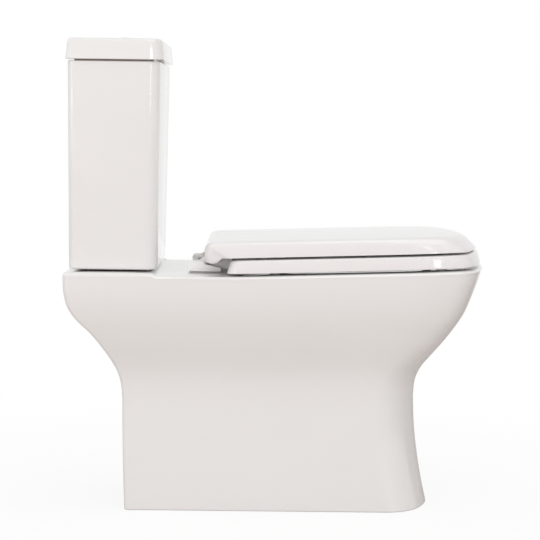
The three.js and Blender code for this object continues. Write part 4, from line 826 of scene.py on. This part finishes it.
def make_button(name, node, side):
    """One half of the domed button. Side 1 is the large half, at the back."""
    top = BUTTON_HIGH.z - BUTTON_DOME
    section = [(0, top + BUTTON_DOME)]
    for i in range(1, DOME_STEPS + 1):
        share = i / DOME_STEPS
        section.append((BUTTON_RADIUS * share, top + BUTTON_DOME * (1 - share**DOME_POWER)))
    section += [(BUTTON_RADIUS, top - BUTTON_HEIGHT), (0, top - BUTTON_HEIGHT)]
    button = turned(name, section)
    line = BUTTON_LOW.y if side > 0 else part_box(node)[1].y
    bpy.ops.object.mode_set(mode="EDIT")
    bpy.ops.mesh.select_all(action="SELECT")
    bpy.ops.mesh.bisect(
        plane_co=(0, line, 0), plane_no=(0, -side, 0), use_fill=True, clear_outer=True
    )
    leave_edit(button)
    round_edges(button, BUTTON_EDGE, segments=2, angle=STEEP_EDGE_ANGLE)
    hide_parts(node)
    return button


# Seat ring and cover, made about the hinge axis and then tilted with the rim

HINGE_AXIS = Vector(next(j["pos_m"] for j in frame["joints"] if j["name"] == "ring_hinge"))
HINGE_SPACING = 0.155
RIM_LEVEL = (RIM_BEND - HINGE_AXIS.y) * math.sin(SEAT_TILT) + (
    DECK_HEIGHT - HINGE_AXIS.z
) * math.cos(SEAT_TILT)
SEAT_FRONT = (PAN_LOW.y - HINGE_AXIS.y) / math.cos(SEAT_TILT)
SEAT_HALF = 0.178
RING_BASE = RIM_LEVEL + 0.0047
RING_TOP = RING_BASE + 0.022
RING_EDGE = 0.0035
RING_FOOT_EDGE = RING_EDGE / 2
RING_MOUTH_ROLL = RING_EDGE * 3
RING_MOUTH_DROP = RING_EDGE * 2.5
RING_REAR = -0.0505
RING_REAR_SLANT = 0.0073
RING_REAR_CORNER = 0.016
RING_FRONT = SEAT_FRONT + 0.0045
RING_FRONT_SLANT = 0.007
RING_BAND = 0.054
RING_HOLE_LENGTH = 0.286
RING_HOLE_WIDTH = 0.216
RING_HOLE_POWER = 2.9
COVER_BASE = RING_TOP + 0.0039
COVER_HEIGHT = 0.0255
COVER_FRONT = SEAT_FRONT + 0.012
COVER_FRONT_FALL = 0.042
COVER_EDGE = 0.006
COVER_CROWN = 0.0015
CROWN_POWER = 3
COVER_WALL = 0.0045
COVER_RISE_SHARES = (0, 0.14, 0.42, 0.68, 0.87, 0.96, 1)
COVER_FALL_SHARES = (0, 0.06, 0.24, 0.39, 0.57, 0.75, 1)
COVER_EDGE_SHARES = (0, 0, 0.02, 0.12, 0.34, 0.62, 1)
NOSE_INSET = 0.015
NOSE_RADIUS = 0.012
NOSE_TOP_RADIUS = 0.013
NOSE_DROP = 0.0094
NOSE_CORNER = 0.018
NOSE_SIDE_REACH = 0.008
NOSE_BLEND_POWER = 1.35
EAR_RADIUS = 0.0065
EAR_GAP = 0.0005
EAR_SPACE = 0.023
ARM_DROP = 0.0035
ARM_TOP = 0.004
ARM_BEND = -0.0395
ARM_SHOULDER = 0.0075
ARM_ROOT = RING_REAR - RING_REAR_SLANT * 1.5
ARM_ROOT_TOP = RING_TOP - RING_EDGE / 3
ARM_EAR_ARC = (212, 502)
COVER_EAR_ARC = (0, 337.5)
COVER_WEB = (
    (-NOSE_INSET - NOSE_RADIUS * 0.6, COVER_BASE - NOSE_DROP + NOSE_RADIUS),
    (-NOSE_INSET - NOSE_RADIUS * 0.8, COVER_BASE - NOSE_DROP + 0.001),
    (-EAR_RADIUS * 0.45, -EAR_RADIUS * 0.85),
    (EAR_RADIUS * 0.7, EAR_RADIUS * 0.6),
)
HINGE_BASE_EDGE = 0.0008


def tilt(piece):
    """Takes a piece from the seat's own frame to its place on the hinge axis."""
    piece.data.transform(Matrix.Translation(HINGE_AXIS) @ Matrix.Rotation(-SEAT_TILT, 4, "X"))


def seat_outline(front, rear, inset, rear_corner):
    plan = dict(RIM_PLAN, rear_corner=rear_corner)
    even = [i / SIDE_STEPS for i in range(1, SIDE_STEPS)]
    return plan_outline(SEAT_HALF - inset, rear - inset, front + inset, plan, even)


def ring_outside(inset, z):
    """The ring's outer outline at a level. Its ends lean back towards the top."""
    rise = (z - RING_BASE) / (RING_TOP - RING_BASE)
    rear = RING_REAR - RING_REAR_SLANT * rise
    front = RING_FRONT + RING_FRONT_SLANT * rise * rise
    return at_level(seat_outline(front, rear, inset, RING_REAR_CORNER), z)


def make_ring():
    """The seat ring: flat below, softly rounded over its outer edge and into its opening."""
    middle = RING_FRONT + RING_BAND + RING_HOLE_LENGTH / 2
    toward = [(p.x, p.y) for p in ring_outside(0, RING_BASE)]

    def hole(grow, z):
        length, width = RING_HOLE_LENGTH / 2 + grow, RING_HOLE_WIDTH / 2 + grow
        return at_level(oval_outline(middle, length, width, RING_HOLE_POWER, toward), z)

    ring = start_loop("seat_ring_moulded", hole(RING_FOOT_EDGE, RING_BASE))
    for up, inward in reversed(list(quarter_turn())):
        next_loop(ring, ring_outside(RING_FOOT_EDGE * inward, RING_BASE + RING_FOOT_EDGE * up))
    for down, inward in quarter_turn():
        next_loop(ring, ring_outside(RING_EDGE * inward, RING_TOP - RING_EDGE * down))
    for outward, down in quarter_turn(ROUND_STEPS * 2):
        next_loop(ring, hole(RING_MOUTH_ROLL * outward, RING_TOP - RING_MOUTH_DROP * down))
    next_loop(ring, hole(0, RING_BASE + RING_FOOT_EDGE))
    next_loop(ring, hole(RING_FOOT_EDGE, RING_BASE))
    leave_edit(ring)
    arms = [make_ring_arm(side) for side in (-1, 1)]
    ring = join([ring, *arms], "seat_ring_moulded")
    tilt(ring)
    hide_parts("seat_ring")
    return ring


def ear_arc(start, end):
    """Points round an ear of the hinge, between two angles in degrees."""
    for i in range(EAR_STEPS + 1):
        angle = math.radians(mix(start, end, i / EAR_STEPS))
        yield EAR_RADIUS * math.cos(angle), EAR_RADIUS * math.sin(angle)


def side_slab(name, outline, span):
    """An outline of y and z extruded between two places along X, with soft edges."""
    start, end = span
    slab = start_loop(name, [Vector((start, y, z)) for y, z in outline])
    bpy.ops.mesh.edge_face_add()
    bpy.ops.mesh.extrude_region_move(TRANSFORM_OT_translate={"value": (end - start, 0, 0)})
    leave_edit(slab)
    round_edges(slab, EAR_GAP, segments=2)
    return slab


def ear_span(side, inner, outer):
    """Two places along X, as distances outwards from the middle of one hinge."""
    middle = HINGE_SPACING / 2
    return (middle + inner, middle + outer) if side > 0 else (-middle - outer, -middle - inner)


def make_ring_arm(side):
    """The arm that carries the ring's ear, between the cheeks of a hinge base."""
    outline = [
        (ARM_ROOT, RING_BASE + EAR_GAP),
        (ARM_BEND - ARM_DROP, RING_BASE + EAR_GAP),
        (ARM_BEND + ARM_DROP, -ARM_DROP),
        *ear_arc(*ARM_EAR_ARC),
        (ARM_BEND, ARM_TOP),
        (ARM_BEND - ARM_SHOULDER, ARM_ROOT_TOP),
        (ARM_ROOT, ARM_ROOT_TOP),
    ]
    span = ear_span(side, EAR_GAP - EAR_SPACE / 2, -EAR_GAP / 2)
    return side_slab("ring_arm", outline, span)


def nose_point(share):
    """The rolled rear edge in profile: round its lobe from inside, and up over its top."""
    lobe = COVER_BASE - NOSE_DROP + NOSE_RADIUS
    rear = -NOSE_INSET
    top = COVER_BASE + COVER_HEIGHT
    lobe_run = math.pi * NOSE_RADIUS
    rise_run = top - NOSE_TOP_RADIUS - lobe
    top_run = QUARTER * NOSE_TOP_RADIUS
    at = share * (lobe_run + rise_run + top_run)
    if at < lobe_run:
        angle = math.pi + at / NOSE_RADIUS
        y = rear - NOSE_RADIUS + NOSE_RADIUS * math.cos(angle)
        return y, lobe + NOSE_RADIUS * math.sin(angle)
    if at < lobe_run + rise_run:
        return rear, lobe + at - lobe_run
    angle = (at - lobe_run - rise_run) / NOSE_TOP_RADIUS
    return (
        rear - NOSE_TOP_RADIUS * (1 - math.cos(angle)),
        top - NOSE_TOP_RADIUS * (1 - math.sin(angle)),
    )


def cover_loop(share):
    """The cover's outline at a share of its wall, which dips round the lobe at the back."""
    places = [i / (len(COVER_RISE_SHARES) - 1) for i in range(len(COVER_RISE_SHARES))]
    rise, fall, edge = (
        smooth_share(places, shares, share)
        for shares in (COVER_RISE_SHARES, COVER_FALL_SHARES, COVER_EDGE_SHARES)
    )
    side_z = COVER_BASE + COVER_HEIGHT * rise
    rear, rear_z = nose_point(share)
    inset = COVER_EDGE * edge
    front = COVER_FRONT + COVER_FRONT_FALL * fall - inset
    outline = seat_outline(front, rear + inset, inset, NOSE_CORNER)
    loop = []
    for x, y in outline:
        turn = min(max((y - (rear - NOSE_CORNER)) / NOSE_CORNER, 0), 1)
        reach = min((1 - turn) * NOSE_CORNER / NOSE_SIDE_REACH, 1)
        drop = NOSE_RADIUS * (1 - math.sqrt(1 - reach * reach)) / NOSE_DROP
        blend = max(1 - drop, 0) ** NOSE_BLEND_POWER
        loop.append(Vector((x, y, mix(side_z, rear_z, blend))))
    return loop


def make_cover():
    """The seat cover: one shell with a sloped front, a low crown and a rolled rear edge."""
    cover = start_loop("seat_cover_moulded", cover_loop(0))
    for i in range(1, COVER_STEPS + 1):
        rim = cover_loop(i / COVER_STEPS)
        next_loop(cover, rim)
    middle = (min(p.y for p in rim) + max(p.y for p in rim)) / 2
    for i in range(1, CROWN_STEPS):
        size = 1 - i / CROWN_STEPS
        crown = COVER_CROWN * (1 - size**CROWN_POWER)
        places = [Vector((p.x * size, mix(middle, p.y, size), p.z + crown)) for p in rim]
        next_loop(cover, places)
    bpy.ops.mesh.merge(type="CENTER")
    leave_edit(cover)
    modify(cover, "SOLIDIFY", thickness=COVER_WALL, offset=-1)
    round_edges(cover, EAR_GAP * 2, segments=2, angle=STEEP_EDGE_ANGLE)
    ears = [ear for side in (-1, 1) for ear in make_cover_ear(side)]
    cover = join([cover, *ears], "seat_cover_moulded")
    tilt(cover)
    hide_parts("seat_cover")
    return cover


def make_cover_ear(side):
    """The ear below the rolled edge, and the web that joins them."""
    span = ear_span(side, EAR_GAP / 2, EAR_SPACE / 2 - EAR_GAP)
    return [
        side_slab("cover_web", COVER_WEB, span),
        side_slab("cover_ear", ear_arc(*COVER_EAR_ARC), span),
    ]


# Materials

GRAINS_PER_CLOUD = 12
CLOUD_DETAIL = 3
GRAIN_DETAIL = 2
COAT_ROUGHNESS = 0.03
JOINT_MARGIN = 0.0002


def new_material(name):
    material = bpy.data.materials.new(name)
    material.use_nodes = True
    nodes = material.node_tree.nodes
    return material, nodes, material.node_tree.links, nodes["Principled BSDF"]


def set_inputs(node, values):
    """Sets sockets of a node, by name or by number."""
    for socket, value in values.items():
        node.inputs[socket].default_value = value


def colour_mix(nodes, first, second):
    """A node that blends two colours."""
    tone = nodes.new("ShaderNodeMix")
    tone.data_type = "RGBA"
    set_inputs(tone, {"A": (*first, 1), "B": (*second, 1)})
    return tone


def surface(name, colour, deeper, scale, roughness, spread, bump, distance, coat=0, metal=0):
    """A material whose colour and gloss vary softly over the surface, with a fine relief."""
    material, nodes, links, shader = new_material(name)
    place = nodes.new("ShaderNodeTexCoord")
    cloud = nodes.new("ShaderNodeTexNoise")
    set_inputs(cloud, {"Scale": scale, "Detail": CLOUD_DETAIL})
    tone = colour_mix(nodes, colour, deeper)
    gloss = nodes.new("ShaderNodeMapRange")
    set_inputs(gloss, {"To Min": roughness - spread, "To Max": roughness + spread})
    grain = nodes.new("ShaderNodeTexNoise")
    set_inputs(grain, {"Scale": scale * GRAINS_PER_CLOUD, "Detail": GRAIN_DETAIL})
    relief = nodes.new("ShaderNodeBump")
    set_inputs(relief, {"Strength": bump, "Distance": distance})
    links.new(place.outputs["Object"], cloud.inputs["Vector"])
    links.new(place.outputs["Object"], grain.inputs["Vector"])
    links.new(cloud.outputs["Fac"], tone.inputs["Factor"])
    links.new(cloud.outputs["Fac"], gloss.inputs["Value"])
    links.new(tone.outputs["Result"], shader.inputs["Base Color"])
    links.new(gloss.outputs["Result"], shader.inputs["Roughness"])
    links.new(grain.outputs["Fac"], relief.inputs["Height"])
    links.new(relief.outputs["Normal"], shader.inputs["Normal"])
    set_inputs(shader, {"Metallic": metal, "Coat Weight": coat, "Coat Roughness": COAT_ROUGHNESS})
    return material


def srgb(red, green, blue):
    """A colour as it looks on screen, in the linear values that the shader takes."""

    def linear(value):
        value /= 255
        return value / 12.92 if value <= 0.04045 else ((value + 0.055) / 1.055) ** 2.4

    return linear(red), linear(green), linear(blue)


BARE_CLAY = srgb(150, 132, 124)
MATERIALS = {
    "glaze": surface(
        "glazed_ceramic", srgb(239, 237, 236), srgb(236, 234, 232),
        scale=5, roughness=0.06, spread=0.02, bump=0.02, distance=0.001, coat=0.35,
    ),
    "seat_plastic": surface(
        "seat_plastic", srgb(239, 236, 236), srgb(237, 234, 233),
        scale=9, roughness=0.07, spread=0.02, bump=0.02, distance=0.0006,
    ),
    "hinge_plastic": surface(
        "hinge_plastic", srgb(252, 251, 249), srgb(248, 247, 245),
        scale=30, roughness=0.25, spread=0.04, bump=0.04, distance=0.0004,
    ),
    "white_plastic": surface(
        "white_plastic", srgb(228, 228, 224), srgb(220, 220, 215),
        scale=40, roughness=0.42, spread=0.05, bump=0.08, distance=0.0004,
    ),
    "grey_plastic": surface(
        "grey_plastic", srgb(196, 199, 201), srgb(186, 189, 192),
        scale=40, roughness=0.45, spread=0.05, bump=0.08, distance=0.0004,
    ),
    "rubber": surface(
        "black_rubber", srgb(48, 47, 46), srgb(36, 35, 35),
        scale=60, roughness=0.75, spread=0.08, bump=0.2, distance=0.0005,
    ),
    "pale_rubber": surface(
        "pale_rubber", srgb(206, 203, 199), srgb(196, 193, 189),
        scale=60, roughness=0.6, spread=0.08, bump=0.1, distance=0.0004,
    ),
    "chrome": surface(
        "chrome", srgb(224, 226, 228), srgb(218, 220, 223),
        scale=30, roughness=0.09, spread=0.03, bump=0.02, distance=0.0003, metal=1,
    ),
    "steel": surface(
        "zinc_plated_steel", srgb(196, 197, 196), srgb(176, 177, 178),
        scale=70, roughness=0.34, spread=0.08, bump=0.1, distance=0.0004, metal=1,
    ),
}


def bare_joint(name, low, high):
    """The glaze, with the bare clay of a joint where two castings meet between two heights."""
    material = MATERIALS["glaze"].copy()
    material.name = name
    nodes, links = material.node_tree.nodes, material.node_tree.links
    shader = nodes["Principled BSDF"]
    glaze = shader.inputs["Base Color"].links[0].from_socket
    place = nodes.new("ShaderNodeTexCoord")
    axes = nodes.new("ShaderNodeSeparateXYZ")
    inside = nodes.new("ShaderNodeMath")
    inside.operation = "COMPARE"
    set_inputs(inside, {1: (low + high) / 2, 2: (high - low) / 2})
    tone = colour_mix(nodes, BARE_CLAY, BARE_CLAY)
    links.new(place.outputs["Object"], axes.inputs["Vector"])
    links.new(axes.outputs["Z"], inside.inputs[0])
    links.new(inside.outputs["Value"], tone.inputs["Factor"])
    links.new(glaze, tone.inputs["A"])
    links.new(tone.outputs["Result"], shader.inputs["Base Color"])
    return material


def dress_cad_nodes():
    """Gives every CAD node the material of its slot in the record."""
    for part in frame["record"]["subparts"]:
        node = frame["nodes"][part["node"]]
        node.data.materials.clear()
        finish = "pale_rubber" if part["node"].startswith("hinge_pad") else part["material_slot"]
        node.data.materials.append(MATERIALS[finish])


def make_pieces():
    """Every piece of the scene, on the body that it rides on."""
    root = "pan_and_cistern"
    castings = [make_pan(), make_spigot(), *make_flush_passage(), make_lug(-1), make_lug(1)]
    fit(join(castings, "pan_glazed"), root, MATERIALS["glaze"])
    below_tank = bare_joint("tank_ceramic", 0, CISTERN_LOW.z + JOINT_MARGIN)
    fit(make_tank(), root, below_tank)
    below_lid = bare_joint("lid_ceramic", CISTERN_HIGH.z, LID_BASE + JOINT_MARGIN)
    fit(make_lid(), root, below_lid)
    fit(make_bezel(), root, MATERIALS["chrome"])
    full = make_button("full_flush_chrome", "full_flush_button", 1)
    fit(full, "full_button_body", MATERIALS["chrome"])
    half = make_button("half_flush_chrome", "half_flush_button", -1)
    fit(half, "half_button_body", MATERIALS["chrome"])
    fit(make_ring(), "seat_ring_body", MATERIALS["seat_plastic"])
    fit(make_cover(), "seat_cover_body", MATERIALS["seat_plastic"])
    for side in ("left", "right"):
        base = eased_copy("hinge_base_" + side, HINGE_BASE_EDGE)
        fit(base, root, MATERIALS["hinge_plastic"])


# Floor, light and camera

AMBIENT = 0.7
MIRRORED = 0.93
FLOOR_SIZE = 12
FLOOR_LEVEL = -0.0005
FLOOR_ROUGHNESS = 0.9
FLOOR_SPECULAR = 0.1
FLOOR_SEEN = srgb(250, 249, 249)
FLOOR_BOUNCE = srgb(205, 197, 193)
WHITE = (1, 1, 1, 1)
# Where the floor fades, as distances from the toilet, and how white it is there
FADE_SEEN = (0.3, 1.3)
FADE_SEEN_SHARES = (0.88, 1)
FADE_MIRRORED = (1.8, 4)
FADE_MIRRORED_SHARES = (0, 1)


def distance_fade(nodes, links, span, shares):
    """A share that grows with the distance from the toilet."""
    place = nodes.new("ShaderNodeTexCoord")
    distance = nodes.new("ShaderNodeVectorMath")
    distance.operation = "LENGTH"
    fade = nodes.new("ShaderNodeMapRange")
    fade.interpolation_type = "SMOOTHSTEP"
    set_inputs(fade, {"From Min": span[0], "From Max": span[1]})
    set_inputs(fade, {"To Min": shares[0], "To Max": shares[1]})
    links.new(place.outputs["Object"], distance.inputs[0])
    links.new(distance.outputs["Value"], fade.inputs["Value"])
    return fade.outputs["Result"]


def combined(nodes, links, operation, first, second):
    """Two values of a material taken together."""
    node = nodes.new("ShaderNodeMath")
    node.operation = operation
    links.new(first, node.inputs[0])
    links.new(second, node.inputs[1])
    return node.outputs["Value"]


def floor_material():
    """A pale surface that keeps the shadow and fades to white, for the eye near and for gloss far."""
    material, nodes, links, shader = new_material("pale_floor")
    set_inputs(shader, {"Roughness": FLOOR_ROUGHNESS, "Specular IOR Level": FLOOR_SPECULAR})
    path = nodes.new("ShaderNodeLightPath")
    eye = path.outputs["Is Camera Ray"]
    tone = colour_mix(nodes, FLOOR_BOUNCE, FLOOR_SEEN)
    near = distance_fade(nodes, links, FADE_SEEN, FADE_SEEN_SHARES)
    far = distance_fade(nodes, links, FADE_MIRRORED, FADE_MIRRORED_SHARES)
    gloss = combined(
        nodes, links, "MAXIMUM", path.outputs["Is Glossy Ray"], path.outputs["Is Transmission Ray"]
    )
    seen = combined(nodes, links, "MULTIPLY", eye, near)
    mirrored = combined(nodes, links, "MULTIPLY", gloss, far)
    white = nodes.new("ShaderNodeEmission")
    set_inputs(white, {"Color": WHITE})
    blend = nodes.new("ShaderNodeMixShader")
    links.new(eye, tone.inputs["Factor"])
    links.new(tone.outputs["Result"], shader.inputs["Base Color"])
    links.new(combined(nodes, links, "MAXIMUM", seen, mirrored), blend.inputs["Fac"])
    links.new(shader.outputs["BSDF"], blend.inputs[1])
    links.new(white.outputs["Emission"], blend.inputs[2])
    links.new(blend.outputs["Shader"], nodes["Material Output"].inputs["Surface"])
    return material


def make_floor():
    deselect()
    bpy.ops.mesh.primitive_plane_add(size=FLOOR_SIZE, location=(0, 0, FLOOR_LEVEL))
    floor = bpy.context.object
    floor.name = "floor"
    floor.data.materials.append(floor_material())


def set_world():
    """White to the camera, a shade under white in reflections, and a soft light on the surfaces."""
    world = bpy.data.worlds.new("studio")
    bpy.context.scene.world = world
    world.use_nodes = True
    nodes, links = world.node_tree.nodes, world.node_tree.links
    background = nodes["Background"]
    set_inputs(background, {"Color": WHITE})
    path = nodes.new("ShaderNodeLightPath")
    mirrored = nodes.new("ShaderNodeMapRange")
    set_inputs(mirrored, {"To Min": 1, "To Max": MIRRORED})
    strength = nodes.new("ShaderNodeMix")
    set_inputs(strength, {"B": AMBIENT})
    links.new(path.outputs["Is Glossy Ray"], mirrored.inputs["Value"])
    links.new(path.outputs["Is Diffuse Ray"], strength.inputs["Factor"])
    links.new(mirrored.outputs["Result"], strength.inputs["A"])
    links.new(strength.outputs["Result"], background.inputs["Strength"])


def add_softbox(name, place, target, size, power, spread=180):
    """A rectangular lamp. A gleam shows in gloss alone, and the others light the surfaces alone."""
    light = bpy.data.lights.new(name, "AREA")
    light.shape = "RECTANGLE"
    light.size, light.size_y = size
    light.energy = power
    light.spread = math.radians(spread)
    softbox = bpy.data.objects.new(name, light)
    bpy.context.scene.collection.objects.link(softbox)
    gleam = name.startswith("gleam")
    softbox.visible_glossy = gleam
    softbox.visible_diffuse = not gleam
    softbox.location = place
    softbox.rotation_euler = (Vector(target) - Vector(place)).to_track_quat("-Z", "Y").to_euler()


def set_lights():
    """Soft fills above, in front and on both sides, and gleams for edges and glossy corners."""
    middle = (0, 0, 0.4)
    lid_corner = (LID_LOW.x, LID_LOW.y, LID_HIGH.z)
    cover_edge = (0, -0.5, 0.4)
    cover_side = (0, -0.2, 0.4)
    add_softbox("light_above", (-0.3, 0.3, 2.6), middle, size=(2, 2), power=7.5)
    add_softbox("light_front", (-0.4, -2.6, 1), middle, size=(1.6, 1.2), power=2)
    add_softbox("fill_left", (-2.3, -1.25, 0.58), middle, size=(0.9, 1.1), power=8.7)
    add_softbox("fill_right", (-2.4, 1.15, 0.58), middle, size=(0.9, 1.1), power=14.4)
    add_softbox("gleam_low", (-2.2, -1.33, 0.5), cover_side, size=(0.14, 0.8), power=2.9)
    add_softbox("gleam_high", (-2.2, -0.95, 1.33), lid_corner, (0.8, 0.19), power=0.085, spread=25)
    add_softbox("gleam_edge", (-1, -0.7, 2.1), cover_edge, size=(1.6, 2), power=14)
    add_softbox("gleam_rear", (-2.1, 1.5, 0.25), middle, size=(0.3, 0.5), power=3.3)


def set_camera():
    """The photograph's viewpoint."""
    place = (-3.28, 0.038, 0.667)
    yaw, pitch, roll = 0.008, 0.082, 0.0124
    focal_pixels = 1911
    frame_pixels = 540
    sensor = 36
    ahead = Vector(
        (math.cos(yaw) * math.cos(pitch), -math.sin(yaw) * math.cos(pitch), -math.sin(pitch))
    )
    right = Vector((-math.sin(yaw), -math.cos(yaw), 0))
    up = right.cross(ahead)
    turned_right = right * math.cos(roll) + up * math.sin(roll)
    turned_up = up * math.cos(roll) - right * math.sin(roll)
    camera_data = bpy.data.cameras.new("camera")
    camera_data.sensor_width = sensor
    camera_data.lens = focal_pixels / frame_pixels * sensor
    camera = bpy.data.objects.new("camera", camera_data)
    bpy.context.scene.collection.objects.link(camera)
    turn = Matrix((turned_right, turned_up, -ahead)).transposed()
    camera.matrix_world = Matrix.Translation(place) @ turn.to_4x4()
    bpy.context.scene.camera = camera


set_camera()
dress_cad_nodes()
make_pieces()
make_floor()
set_world()
set_lights()
bpy.context.scene.view_settings.view_transform = "Standard"
